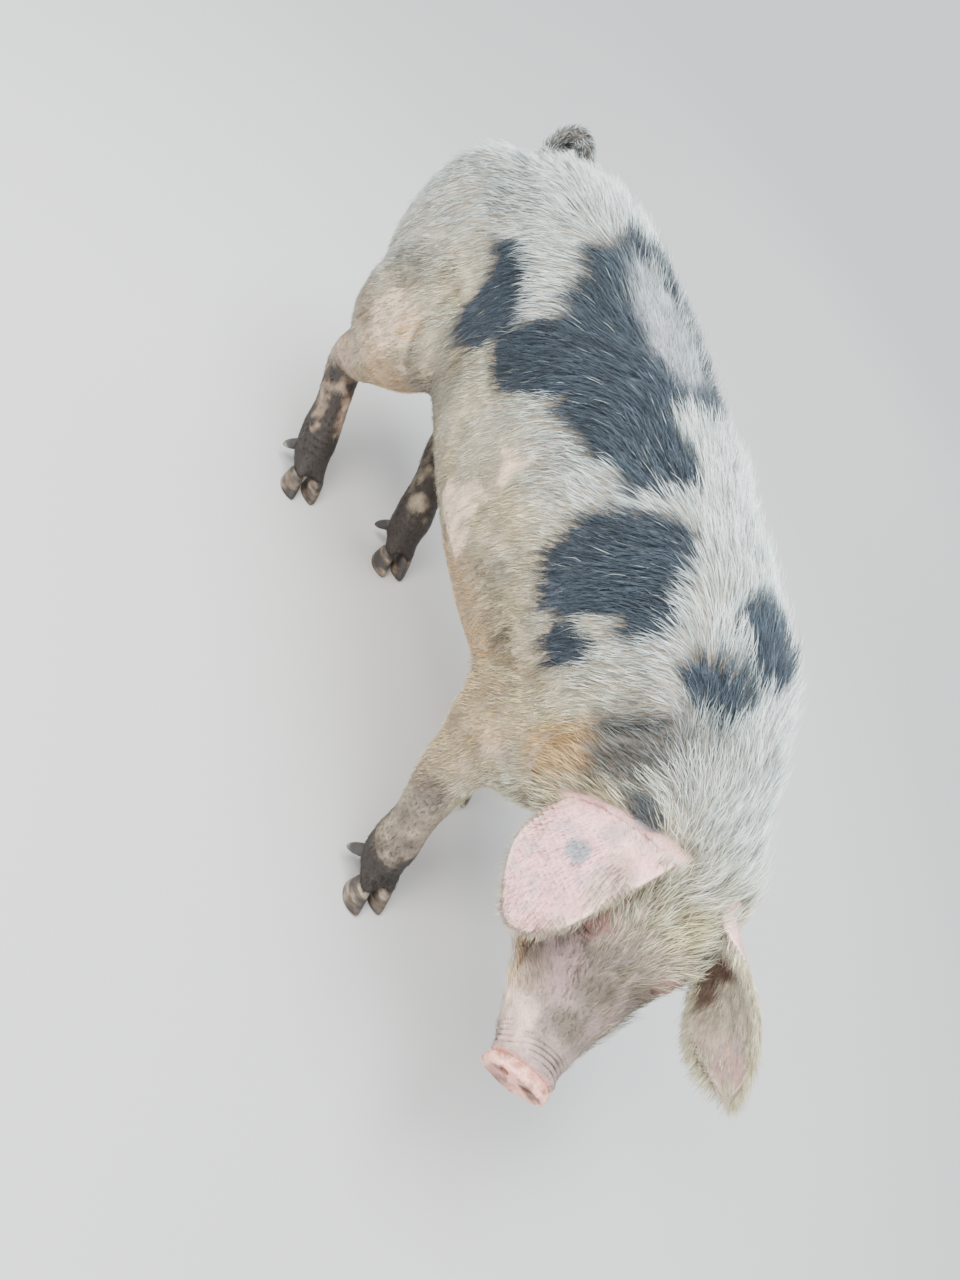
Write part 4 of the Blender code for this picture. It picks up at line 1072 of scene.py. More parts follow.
def rosy_share(points):
    return blots(points, FACE_PINK, 0.6, 0.3, 71)


def purple_share(points):
    return blots(points, FACE_PURPLE, 0.5, 0.4, 73)


def dirt_share(points):
    return blots(points, FACE_DIRT, 0.5, 0.4, 75)


def yellow_share(points):
    return blots(points, EAR_YELLOW, 0.5, 0.3, 89)


def on_both_sides(rows):
    """Blots on the head's right side, and their mirror images on its left side."""
    mirrored = []
    for centre, reach, strength in rows:
        across, ahead, above = in_head(np.array([centre]))[0]
        mirrored.append((tuple(on_head(-across, ahead, above)), reach, 0.85 * strength))
    return tuple(rows) + tuple(mirrored)


# Markings of the face: its pink, purple and dirty places, the folds at the eye and the wisps on the cheek.
FACE_PINK = (
    ((-0.180, -0.706, 0.320), (0.030, 0.046, 0.028), 1.0),
    ((-0.158, -0.664, 0.312), (0.030, 0.038, 0.030), 1.0),
)
FACE_PURPLE = on_both_sides((
    ((-0.129, -0.640, 0.398), (0.026, 0.040, 0.034), 0.85),
    ((-0.139, -0.678, 0.383), (0.018, 0.026, 0.022), 0.6),
))
FACE_DIRT = on_both_sides((
    ((-0.134, -0.728, 0.374), (0.026, 0.024, 0.026), 0.85),
    ((-0.106, -0.698, 0.420), (0.028, 0.032, 0.028), 0.9),
))
EYE_FOLDS = on_both_sides((
    ((-0.126, -0.606, 0.470), (0.026, 0.026, 0.044), 0.85),
    ((-0.124, -0.588, 0.500), (0.024, 0.024, 0.028), 0.7),
))
FACE_WISPS = on_both_sides((
    ((-0.140, -0.615, 0.318), (0.040, 0.060, 0.040), 1.0),
))
# Grey spots on the right ear and at its root, painted shade in the ears' hollows, and the dirt round the
# nostrils.
EAR_SPOTS = (
    ((-0.173, -0.524, 0.504), (0.023, 0.017, 0.021), 1.0),
    ((-0.136, -0.508, 0.585), (0.018, 0.018, 0.018), 0.9),
    ((-0.146, -0.511, 0.548), (0.022, 0.016, 0.018), 0.5),
    ((-0.196, -0.560, 0.430), (0.006, 0.006, 0.006), 0.8),
    ((0.150, -0.700, 0.470), (0.012, 0.012, 0.012), 0.9),
)
# Where the ears' hollows are painted dark, as painted shade.
EAR_HOLLOW_SHADE = (
    ((0.028, -0.690, 0.522), (0.024, 0.024, 0.034), 0.95),
    ((0.046, -0.710, 0.492), (0.013, 0.022, 0.024), 0.9),
    ((0.056, -0.728, 0.470), (0.008, 0.016, 0.018), 0.7),
    ((-0.135, -0.560, 0.530), (0.020, 0.022, 0.030), 0.5),
)
EAR_YELLOW = (
    ((-0.146, -0.562, 0.542), (0.020, 0.028, 0.026), 1.0),
    ((-0.163, -0.586, 0.512), (0.018, 0.026, 0.026), 1.0),
    ((-0.186, -0.606, 0.456), (0.016, 0.016, 0.030), 0.8),
)
NOSTRIL_DIRT = (
    (tuple(on_head(0.026, SNOUT_FRONT - 0.014, SNOUT_CENTRE + 0.006)), (0.020, 0.020, 0.018), 1.0),
    (tuple(on_head(-0.024, SNOUT_FRONT - 0.016, SNOUT_CENTRE)), (0.012, 0.014, 0.014), 0.85),
)


def mixed(a, b, share):
    return a + (b - a) * share[:, None]


def mud_share(points):
    """Dried mud up the legs, the hind ones most, and along the belly's edge."""
    fore = points[:, 1] < 0
    rise = np.where(fore, 0.19, 0.25) + 0.08 * lattice_noise(points, 0.06, 31)
    legs = smooth_step(rise + 0.12, rise - 0.08, points[:, 2])
    splashes = 0.65 * lattice_noise(points, 0.030, 33) + 0.55 * lattice_noise(points, 0.012, 34)
    mottle = np.where(fore, 0.74, 0.90) + splashes + 0.9 * smooth_step(0.14, 0.08, points[:, 2])
    spots = smooth_step(0.20, 0.75, lattice_noise(points, 0.045, 32)) * smooth_step(0.46, 0.30, points[:, 2])
    return np.clip(legs * np.clip(mottle, 0, 1) + 0.35 * spots, 0, 1)


def face_grime(points):
    """How dirty the face's hair and skin are, from 0 to 1, in patches and streaks."""
    cloud = 0.36 + 0.85 * lattice_noise(points, 0.030, 46) + 0.55 * lattice_noise(points, 0.011, 47)
    dirty = np.maximum(0.8 * purple_share(points), dirt_share(points))
    return np.clip(np.maximum(cloud, dirty), 0, 1)


def trunk_hair(points, reach, ahead):
    """White hair on the back, tinted blue-green as a painted reflection of the sky, creamier down the sides
    and on the head, and brown-tan low on the flank, darker there as painted shade of the underside.
    """
    warm = smooth_step(0.10, 0.30, reach) * smooth_step(0.80, 0.50, points[:, 2])
    warm *= 1 - 0.7 * smooth_step(0.42, 0.60, points[:, 1])
    warm = warm * (0.80 + 0.4 * lattice_noise(points, 0.06, 41)) + 0.15 * lattice_noise(points, 0.02, 42)
    warm = np.maximum(np.clip(warm, 0, 1), 0.55 * smooth_step(-0.05, 0.04, ahead))
    colour = mixed(np.tile(WHITE_HAIR_WITH_SKY_REFLECTION, (len(points), 1)), CREAM_HAIR, warm)
    # Low on the flank the hair turns brown-tan, darker there as painted shade of the underside.
    starts = 0.40 - 0.11 * smooth_step(0.02, -0.12, points[:, 1])
    low = smooth_step(0.0, 0.12, reach - starts) * smooth_step(0.30, 0.40, points[:, 2]) * (ahead < -0.05)
    return mixed(colour, LOW_FLANK_TAN_AND_SHADE_HAIR, 0.85 * low)


def hair_colour(points, chance):
    """The colour of the hair that grows at each point, each hair a little different."""
    count = len(points)
    _, ahead, _ = in_head(points).T
    colour = trunk_hair(points, np.abs(flat_trunk(points)[:, 1]), ahead)
    face = smooth_step(0.09, 0.20, ahead)
    rosy = rosy_share(points)
    grime = face_grime(points)
    colour = mixed(colour, FACE_HAIR, 0.85 * face * (1 - rosy))
    colour = mixed(colour, GRIMY_HAIR, 0.80 * face * grime * (1 - 0.75 * rosy))
    colour = mixed(colour, PINK_FACE_HAIR, 0.8 * face * rosy * (1 - 0.6 * grime))
    colour = mixed(colour, GREY_HAIR, 0.90 * grey_share(points))
    colour = mixed(colour, TAN_HAIR, blots(points, TAN_BLOTS, 0.35, 0.2, 25))
    dark = dark_share(points) * (1 - 0.5 * thin_share(points))
    stray = chance.uniform(0, 1, count) < 0.02
    dark = np.where(stray, dark * 0.5, dark)
    colour = mixed(colour, DARK_HAIR, dark)
    peppered = smooth_step(-0.36, -0.48, points[:, 1]) * (chance.uniform(0, 1, count) < 0.26)
    colour = mixed(colour, GREY_HAIR, 0.62 * peppered * (1 - rosy))
    colour = mixed(colour, MUD, 0.96 * mud_share(points))
    spread = np.where(dark > 0.5, 0.12, 0.24)
    return 1.06 * colour * np.exp(spread * chance.normal(0, 1, count).clip(-2.4, 1.0))[:, None]


def ear_rim(points, ear_share):
    """How near each point of an ear lies to the pale line just inside its edge, from 0 to 1."""
    rim = np.zeros(len(points))
    on_ear = np.flatnonzero(ear_share > 0.5)
    for name in EARS:
        front, back, rows = ear_frame(name, 3)
        edge = [ear_place(front, back, row, -row[1]) for row in rows]
        edge += [ear_place(front, back, row, row[2]) for row in reversed(rows)]
        gap = distance_to_path(points[on_ear], edge)
        rim[on_ear] = np.maximum(rim[on_ear], np.exp(-((gap - 0.0050) / 0.0018) ** 2))
    return rim


def face_share(points):
    """How far each point belongs to the face, from 0 at the poll to 1 at the snout's root."""
    _, ahead, _ = in_head(points).T
    return smooth_step(0.02, 0.14, ahead) * near(points, [(on_head(0, 0.20, -0.12), 0.26)])


def reach_to_disc(points):
    """How far ahead each point lies, with the lean of the snout's disc taken out."""
    _, ahead, above = in_head(points).T
    return ahead + np.maximum(above - SNOUT_LOW, 0) * math.tan(SNOUT_TILT)


def trunk_skin(points):
    """The skin of the body and legs with its patches."""
    _, ahead, _ = in_head(points).T
    greyed = np.clip(0.3 + 0.7 * lattice_noise(points, 0.04, 45), 0, 1)
    colour = mixed(np.tile(PALE_SKIN, (len(points), 1)), GREY_SKIN, greyed)
    legs = smooth_step(0.42, 0.32, points[:, 2]) * (np.abs(points[:, 0]) > 0.07) * (ahead < 0.02)
    colour = mixed(colour, LEG_SKIN, legs * np.clip(0.8 + 0.5 * lattice_noise(points, 0.03, 49), 0, 1))
    scurf = np.clip(0.75 + 0.5 * lattice_noise(points, 0.012, 50), 0, 1) * scurf_share(points)
    colour = mixed(colour, PINK_SKIN, np.maximum(scurf, blots(points, BARE_BLOTS, 0.3, 0.2, 29)))
    colour = mixed(colour, GREY_SKIN, 0.8 * grey_share(points))
    colour = mixed(colour, DARK_SKIN, dark_share(points))
    return mixed(colour, LILAC_SKIN, thin_share(points))


def with_face(colour, points):
    """The skin's colour with the face's own laid over it."""
    across, _, _ = in_head(points).T
    face = np.clip(1.5 * face_share(points), 0, 1)
    dirt = face_grime(points)
    rosy = rosy_share(points)
    colour = mixed(colour, FACE_SKIN, face)
    colour = mixed(colour, GREY_SKIN, 0.65 * dirt * face)
    colour = mixed(colour, PINK_FACE_SKIN, rosy * (1 - 0.35 * dirt))
    colour = mixed(colour, PURPLE_SKIN, purple_share(points))
    colour = mixed(colour, DIRTY_SKIN, dirt_share(points))
    colour = mixed(colour, EYE_FOLD_SKIN, blots(points, EYE_FOLDS, 0.5, 0.3, 77))
    muzzle = smooth_step(0.305, 0.335, reach_to_disc(points)) * (np.abs(across) < 0.10)
    colour = mixed(colour, MUZZLE_SKIN, muzzle * (0.9 - 0.5 * rosy))
    colour = mixed(colour, DIRTY_SKIN, 0.7 * muzzle * dirt)
    snout = smooth_step(0.362, 0.372, reach_to_disc(points)) * (np.abs(across) < 0.10)
    return mixed(colour, SNOUT_SKIN, snout)


def with_ears(colour, points, ear_share):
    """The skin's colour with the ears' own: blotchy pink, with a pale rim and grey spots, and painted shade
    on the left ear and in the hollows.
    """
    across, _, _ = in_head(points).T
    colour = mixed(colour, EAR_SKIN, ear_share * (1 - dark_share(points)))
    # The left ear is painted greyer as painted shade, mottled with the face's dirt.
    shaded = smooth_step(0.02, 0.10, across) * (0.6 + 0.4 * face_grime(points))
    colour = mixed(colour, GREY_SKIN * 1.6, 0.7 * ear_share * shaded)
    blotchy = 0.18 * lattice_noise(points, 0.016, 86) + 0.14 * lattice_noise(points, 0.006, 87)
    colour = colour * (1 + blotchy * ear_share)[:, None]
    clouds = smooth_step(0.1, 0.7, lattice_noise(points, 0.020, 88))
    colour = mixed(colour, EAR_GREY * 1.5, 0.5 * ear_share * clouds)
    colour = mixed(colour, EAR_YELLOW_SKIN, 0.7 * yellow_share(points) * ear_share)
    colour = mixed(colour, EAR_RIM_SKIN, 0.75 * ear_rim(points, ear_share))
    spots = blots(points, EAR_SPOTS, 0.25, 0.25, 35)
    colour = mixed(colour, EAR_GREY, spots * np.maximum(ear_share, face_share(points)))
    # The ears' hollows are painted dark, as painted shade.
    colour = mixed(colour, HOLLOW_SHADE_SKIN, 0.9 * blots(points, EAR_HOLLOW_SHADE, 0.5, 0.2, 37))
    specks = smooth_step(0.55, 0.85, lattice_noise(points, 0.0050, 48))
    return mixed(colour, EAR_GREY, 0.8 * specks * ear_share)


def with_snout_dirt(colour, points):
    """The skin's colour with the disc's brown rim and the dirt smeared over it."""
    across, _, _ = in_head(points).T
    tilted = reach_to_disc(points)
    disc = smooth_step(0.366, 0.372, tilted) * (np.abs(across) < 0.08)
    band = disc * smooth_step(0.384, 0.379, tilted)
    colour = mixed(colour, RIM_SKIN, band * np.clip(0.45 + 0.8 * lattice_noise(points, 0.010, 83), 0, 1))
    clouds = lattice_noise(points, 0.010, 84) + 0.5 * lattice_noise(points, 0.0045, 85)
    nostrils = blots(points, NOSTRIL_DIRT, 0.4, 0.4, 39)
    smear = np.maximum(0.65 * smooth_step(0.15, 0.75, clouds), nostrils)
    return mixed(colour, SMEAR, 0.85 * disc * smear)


def skin_colour(points, groove, ear_share, tail_share):
    """The colour of the skin at each point. groove is how deep the point lies in a crease."""
    colour = with_face(trunk_skin(points), points)
    colour = with_ears(colour, points, ear_share)
    # The skin is painted darker the deeper it lies in a crease: painted shade, with some dirt in the creases.
    crease_shade_and_dirt = smooth_step(0.00015, 0.0011, groove) * (points[:, 2] > 0.03)
    colour = colour * (1 - (0.60 + 0.3 * lattice_noise(points, 0.015, 81)) * crease_shade_and_dirt)[:, None]
    colour = with_snout_dirt(colour, points)
    colour = mixed(colour, MUD, mud_share(points))
    return mixed(colour, GREY_SKIN, 0.8 * tail_share)


# The coat. A row is a place on the right half, the way hair lies there, its length, how it lifts off,
# how many grow on a square centimetre and their thickness. It holds for the left half too, mirrored.
COAT_ROWS = (
    ((0.0, 0.745, 0.68), (0.0, 0.50, -0.85), 0.045, 0.45, 5.0, 0.0014),
    ((-0.015, 0.66, 0.77), (-0.25, 0.90, -0.40), 0.055, 0.50, 5.5, 0.0014),
    ((-0.015, 0.50, 0.81), (-0.30, 1.0, -0.10), 0.055, 0.50, 5.5, 0.0014),
    ((-0.015, 0.25, 0.82), (-0.30, 1.0, 0.0), 0.055, 0.50, 5.5, 0.0014),
    ((-0.015, 0.00, 0.81), (-0.30, 1.0, 0.0), 0.055, 0.50, 5.5, 0.0014),
    ((-0.015, -0.20, 0.79), (-0.25, 1.0, 0.05), 0.056, 0.50, 5.5, 0.0014),
    ((-0.015, -0.36, 0.76), (-0.20, 1.0, 0.25), 0.056, 0.50, 5.5, 0.0014),
    ((-0.15, 0.55, 0.73), (-0.55, 0.55, -0.60), 0.040, 0.22, 6.0, 0.0013),
    ((-0.15, 0.35, 0.76), (-0.60, 0.42, -0.60), 0.042, 0.20, 6.0, 0.0013),
    ((-0.15, 0.10, 0.76), (-0.60, 0.42, -0.60), 0.042, 0.20, 6.0, 0.0013),
    ((-0.15, -0.20, 0.74), (-0.55, 0.45, -0.60), 0.042, 0.20, 6.0, 0.0013),
    ((-0.21, 0.35, 0.62), (-0.10, 0.28, -0.95), 0.036, 0.08, 6.0, 0.0012),
    ((-0.225, 0.05, 0.58), (0.0, 0.28, -0.95), 0.032, 0.08, 5.5, 0.0012),
    ((-0.22, -0.20, 0.58), (0.0, 0.28, -0.95), 0.034, 0.08, 6.0, 0.0012),
    ((-0.20, 0.20, 0.45), (0.15, 0.35, -0.90), 0.028, 0.08, 5.5, 0.0011),
    ((-0.20, -0.10, 0.43), (0.15, 0.35, -0.90), 0.028, 0.08, 5.5, 0.0011),
    ((-0.08, 0.25, 0.35), (0.20, 0.80, -0.10), 0.020, 0.15, 2.5, 0.0011),
    ((-0.08, -0.05, 0.33), (0.20, 0.80, -0.10), 0.020, 0.15, 2.5, 0.0011),
    ((-0.05, -0.42, 0.40), (0.0, 0.20, -1.0), 0.034, 0.25, 5.0, 0.0013),
    ((-0.20, -0.32, 0.55), (0.0, 0.30, -0.95), 0.034, 0.10, 6.0, 0.0012),
    ((-0.18, -0.36, 0.67), (-0.45, 0.50, -0.70), 0.038, 0.22, 6.0, 0.0012),
    ((-0.14, -0.46, 0.58), (-0.40, 0.80, -0.10), 0.042, 0.30, 5.5, 0.0013),
    ((-0.03, -0.47, 0.68), (-0.10, 0.80, 0.50), 0.050, 0.45, 5.5, 0.0014),
    ((-0.21, 0.58, 0.62), (-0.10, 0.40, -0.90), 0.034, 0.09, 6.0, 0.0012),
    ((-0.20, 0.63, 0.50), (0.0, 0.40, -0.90), 0.034, 0.09, 5.5, 0.0013),
    ((-0.08, 0.77, 0.58), (-0.15, 0.30, -1.0), 0.034, 0.22, 5.0, 0.0013),
    ((-0.03, 0.60, 0.42), (0.0, 0.30, -1.0), 0.018, 0.15, 3.0, 0.0011),
    ((-0.20, 0.48, 0.38), (0.0, 0.35, -0.95), 0.026, 0.14, 5.0, 0.0012),
    ((-0.17, 0.56, 0.24), (0.0, 0.10, -1.0), 0.018, 0.16, 7.0, 0.0011),
    ((-0.167, 0.51, 0.15), (0.0, -0.30, -1.0), 0.014, 0.16, 8.0, 0.0010),
    ((-0.165, 0.44, 0.06), (0.0, -0.50, -0.9), 0.012, 0.20, 9.0, 0.0009),
    ((-0.17, -0.28, 0.40), (0.0, 0.30, -1.0), 0.028, 0.22, 5.5, 0.0011),
    ((-0.155, -0.31, 0.29), (0.0, 0.30, -1.0), 0.024, 0.24, 6.5, 0.0011),
    ((-0.155, -0.36, 0.17), (0.0, -0.25, -1.0), 0.014, 0.16, 8.0, 0.0010),
    ((-0.156, -0.42, 0.06), (0.0, -0.50, -0.9), 0.012, 0.20, 9.0, 0.0009),
)
# Below this height a row belongs to a leg.
LEG_HAIR_TOP = 0.30
# The same for the head, in the head's own frame.
HEAD_COAT_ROWS = (
    ((0.0, -0.03, 0.0), (0.0, -0.95, 0.20), 0.056, 0.50, 7.0, 0.0014),
    ((-0.03, 0.03, 0.0), (-0.30, -0.85, 0.20), 0.056, 0.48, 7.5, 0.0013),
    ((-0.03, 0.09, -0.01), (-0.35, -0.85, 0.10), 0.050, 0.40, 8.0, 0.0013),
    ((-0.06, 0.12, -0.035), (-0.60, -0.75, 0.0), 0.034, 0.32, 7.5, 0.0011),
    ((0.0, 0.17, -0.05), (0.0, -1.0, 0.10), 0.030, 0.26, 6.5, 0.0010),
    ((0.0, 0.24, -0.075), (0.0, -1.0, 0.0), 0.018, 0.20, 5.0, 0.0008),
    ((0.0, 0.30, -0.08), (0.0, -1.0, 0.0), 0.009, 0.18, 4.0, 0.0007),
    ((0.0, 0.36, -0.08), (0.0, -1.0, 0.0), 0.004, 0.20, 3.0, 0.0007),
    ((-0.10, 0.04, -0.08), (-0.30, -0.90, -0.30), 0.038, 0.35, 7.0, 0.0013),
    ((-0.11, 0.10, -0.14), (-0.20, -0.85, -0.50), 0.028, 0.20, 8.0, 0.0013),
    ((-0.08, 0.17, -0.14), (-0.20, -0.90, -0.40), 0.026, 0.26, 4.5, 0.0009),
    ((-0.08, 0.12, -0.24), (-0.25, -0.70, -0.70), 0.040, 0.32, 7.0, 0.0014),
    ((-0.05, 0.22, -0.21), (-0.20, -0.75, -0.60), 0.030, 0.30, 7.5, 0.0013),
    ((-0.06, 0.25, -0.14), (-0.10, -0.95, -0.30), 0.018, 0.22, 4.0, 0.0008),
    ((0.0, 0.29, -0.20), (0.0, -0.80, -0.60), 0.018, 0.25, 7.0, 0.0010),
    ((0.0, 0.05, -0.26), (0.0, -0.60, -0.60), 0.030, 0.25, 5.0, 0.0013),
)


def left_leg_offset(place):
    """How far the left leg nearest to a place on the right half stands from the right one's mirror image."""
    pairs = []
    for name in ("leg_front", "leg_hind"):
        for right, left in zip(LEGS[name + "_right"][2:], LEGS[name + "_left"][2:]):
            pairs.append((Vector(right), Vector(left)))
    right, left = min(pairs, key=lambda pair: (Vector(place) - pair[0]).length)
    return left - Vector((-right.x, right.y, right.z))


def coat_controls():
    """Places, directions and sizes of the coat's rows, for both halves, as arrays."""
    rows = []
    for place, way, *size in COAT_ROWS:
        for side in (-1, 1):
            rows.append(((abs(place[0]) * side, *place[1:]), Vector((-way[0] * side, *way[1:])), size))
    for place, way, *size in HEAD_COAT_ROWS:
        for side in (-1, 1):
            rows.append((on_head(abs(place[0]) * side, *place[1:]), head_way(-way[0] * side, *way[1:]), size))
    for place, way, *size in COAT_ROWS:
        if place[2] < LEG_HAIR_TOP:
            mirrored = Vector((-place[0], *place[1:]))
            rows.append((mirrored + left_leg_offset(place), Vector((0.0, *way[1:])), size))
    places = np.array([tuple(place) for place, _, _ in rows])
    ways = np.array([tuple(way.normalized()) for _, way, _ in rows])
    return places, ways, np.array([size for _, _, size in rows])


# How many hairs a clump holds, how deep roots sit, each blade's patch of the map, the most triangles put
# in one piece, and what all the rows' numbers of hairs are multiplied by.
HAIRS_IN_CLUMP = 9
ROOT_DEPTH = 0.0015
UV_PATCH = 0.003
MOST_IN_PIECE = 192000
FEWEST_IN_PIECE = 50
TAIL_HAIRS = 3000
DENSITY = 1.36


def blended(points, places, values):
    """Values at points, from those at places, the nearest counting most."""
    out = np.zeros((len(points), values.shape[1]))
    total = np.zeros(len(points))
    for place, value in zip(places, values):
        gap = ((points - place) ** 2).sum(axis=1) + 4e-4
        share = 1.0 / gap ** 2
        out += share[:, None] * value
        total += share
    return out / total[:, None]


def sampled(mesh, density, chance):
    """Random places on the mesh, so many per square metre of each triangle: points and normals."""
    mesh.calc_loop_triangles()
    corners = np.empty(len(mesh.loop_triangles) * 3, np.int32)
    mesh.loop_triangles.foreach_get("vertices", corners)
    corners = corners.reshape(-1, 3)
    points, normals = points_of(mesh), normals_of(mesh)
    a, b, c = (points[corners[:, k]] for k in range(3))
    area = 0.5 * np.linalg.norm(np.cross(b - a, c - a), axis=1)
    wanted = area * density((a + b + c) / 3, corners)
    count = np.floor(wanted + chance.uniform(0, 1, len(wanted))).astype(int)
    chosen = np.repeat(np.arange(len(corners)), count)
    u, v = chance.uniform(0, 1, (2, len(chosen)))
    flip = u + v > 1
    u, v = np.where(flip, 1 - u, u), np.where(flip, 1 - v, v)
    shares = (1 - u - v, u, v)

    def within(values):
        return sum(values[corners[chosen, k]] * share[:, None] for k, share in enumerate(shares))

    return within(points), unit(within(normals))


def clumped(points, tips, share, spacing, chance):
    """Draws the hairs' tips together in clumps this far apart. It gives them and the clumps' lightness."""
    picked = chance.uniform(0, 1, len(points)) < 1.0 / HAIRS_IN_CLUMP
    picked[:1] = True
    middles, middle_tips = points[picked], tips[picked]
    tree = KDTree(len(middles))
    for k, place in enumerate(middles):
        tree.insert(place, k)
    tree.balance()
    found = np.array([tree.find(place)[1] for place in points])
    gap = np.linalg.norm(points - middles[found], axis=1)
    pull = share * np.exp(-(gap / spacing) ** 2)
    lightness = np.exp(0.22 * chance.normal(0, 1, len(middles)).clip(-2.2, 1.2))[found]
    return tips + (middle_tips[found] - tips) * pull[:, None], lightness


def tufts(hair, rings, chance, clump, clump_size):
    """Thin tapered blades with a three-sided section, as an array (blade, corner, 3).

    It also gives each corner's share of the way to the tip, and each blade's lightness."""
    roots, normals, ways, length = (hair[key] for key in ("roots", "normals", "ways", "length"))
    rise, droop = hair["lift"] * 1.35, hair["lift"] * 0.30
    start = unit(ways * np.cos(rise)[:, None] + normals * np.sin(rise)[:, None])
    end = unit(ways * np.cos(droop)[:, None] + normals * np.sin(droop - 0.10)[:, None])
    middle = roots + start * (0.45 * length)[:, None]
    straight_tips = middle + end * (0.55 * length)[:, None]
    tips, lightness = clumped(roots, straight_tips, clump, clump_size, chance)
    middle = middle + 0.35 * (tips - straight_tips)
    across = unit(np.cross(ways, normals))
    bow = chance.normal(0, 0.085, len(roots)) * length
    blades = np.empty((len(roots), rings * 3 + 1, 3))
    for ring in range(rings):
        t = ring / rings
        centre = (1 - t) ** 2 * roots + 2 * t * (1 - t) * middle + t ** 2 * tips
        centre = centre + across * (bow * math.sin(math.pi * t))[:, None]
        if ring == 0:
            centre = centre - normals * ROOT_DEPTH
        half = 0.5 * hair["width"] * (0.85 if ring == 0 else 1.0 - 0.55 * t)
        blades[:, ring * 3] = centre - across * half[:, None]
        blades[:, ring * 3 + 1] = centre + across * half[:, None]
        blades[:, ring * 3 + 2] = centre + normals * (half * 0.9)[:, None]
    blades[:, -1] = tips
    shares = np.array([ring / rings for ring in range(rings) for _ in range(3)] + [1.0])
    return blades, shares, lightness


def blade_faces(rings):
    faces = []
    for ring in range(rings - 1):
        for k in range(3):
            j = (k + 1) % 3
            a, b, c, d = ring * 3 + k, ring * 3 + j, ring * 3 + 3 + j, ring * 3 + 3 + k
            faces += [(a, b, c), (a, c, d)]
    last = 3 * (rings - 1)
    faces += [(last + k, last + (k + 1) % 3, last + 3) for k in range(3)]
    return np.array(faces)


def coat_piece(name, blades, shares, faces, colours, places):
    """One coat piece from its blades, their colours and their roots' places on the unwrapped skin."""
    count, corners = blades.shape[:2]
    mesh = bpy.data.meshes.new(name)
    points = blades.reshape(-1, 3)
    all_faces = (faces[None] + (np.arange(count) * corners)[:, None, None]).reshape(-1, 3)
    mesh.vertices.add(len(points))
    mesh.vertices.foreach_set("co", points.astype(np.float32).ravel())
    mesh.loops.add(len(all_faces) * 3)
    mesh.loops.foreach_set("vertex_index", all_faces.astype(np.int32).ravel())
    mesh.polygons.add(len(all_faces))
    mesh.polygons.foreach_set("loop_start", np.arange(0, len(all_faces) * 3, 3, dtype=np.int32))
    mesh.update(calc_edges=True)
    # Each blade is painted darker towards its root and a little lighter at its tip: painted shade down among
    # the hairs and painted light on the tips.
    root_shade_and_tip_light = 0.26 + 0.84 * shares ** 0.75
    store_colour(mesh, (colours[:, None, :] * root_shade_and_tip_light[None, :, None]).reshape(-1, 3))
    place = places - places.min(axis=0)
    place = 0.004 + place / np.maximum(place.max(axis=0), 1e-6) * (1 - 0.012)
    side = (np.arange(corners) % 3) / 3.0
    uv = np.empty((count, corners, 2), np.float32)
    uv[..., 0] = place[:, None, 0] + UV_PATCH * side[None]
    uv[..., 1] = place[:, None, 1] + UV_PATCH * shares[None]
    chart = mesh.uv_layers.new(name="OFBake")
    chart.data.foreach_set("uv", uv.reshape(-1, 2)[all_faces.ravel()].ravel())
    return new_object(name, mesh)


def unwrapped(points):
    """A place on a flat map for each point: along and round the trunk, the head and each leg."""
    across, ahead, above = in_head(points).T
    flat = flat_trunk(points)
    head = (ahead > -0.03) & (np.abs(across) < 0.30) & (points[:, 1] < -0.42)
    flat[head, 0] = -1.6 - ahead[head]
    flat[head, 1] = np.arctan2(across[head], above[head] + 0.13) * 0.11
    for k, joints in enumerate(LEGS.values()):
        line = np.array([tuple(joint) for joint in reversed(joints)])
        x, y = (points[:, axis] - np.interp(points[:, 2], line[:, 2], line[:, axis]) for axis in (0, 1))
        low = (points[:, 2] < 0.34) & (np.hypot(x, y) < 0.12)
        flat[low, 0] = 1.2 + 0.45 * k + points[low, 2]
        flat[low, 1] = np.arctan2(x[low], y[low]) * 0.05
    return flat


def add_coat(pieces, name, slot, hair, rings, chance, places=None, clump=0.60, clump_size=0.012):
    """Grows a region's blades and keeps them as pieces of an allowed size."""
    faces = blade_faces(rings)
    blades, shares, lightness = tufts(hair, rings, chance, clump, clump_size)
    colours = hair["colours"] * lightness[:, None]
    flat = unwrapped(hair["roots"]) if places is None else places
    chunks = max(1, math.ceil(len(blades) * len(faces) / MOST_IN_PIECE))
    order = np.argsort(hair["roots"][:, 1], kind="stable")
    for k, part in enumerate(np.array_split(order, chunks)):
        label = name if chunks == 1 else f"{name}_{k + 1}"
        pieces.append((coat_piece(label, blades[part], shares, faces, colours[part], flat[part]), slot))


def lie_of(points, normals, controls, chance):
    """The way hair lies at each point, with slow swirls and a little disorder."""
    places, ways, sizes = controls
    way = blended(points, places, ways)
    swirl = np.stack([lattice_noise(points, 0.07, seed) for seed in (51, 52, 53)], axis=1)
    eddies = np.stack([lattice_noise(points, 0.025, seed) for seed in (54, 55, 56)], axis=1)
    loose = smooth_step(-0.42, -0.54, points[:, 1])[:, None]
    way = way + (0.26 + 0.14 * loose) * swirl + 0.30 * loose * eddies
    way = way + (0.12 + 0.10 * loose) * chance.normal(0, 1, way.shape)
    way = way - normals * (way * normals).sum(axis=1, keepdims=True)
    return unit(way), blended(points, places, sizes)


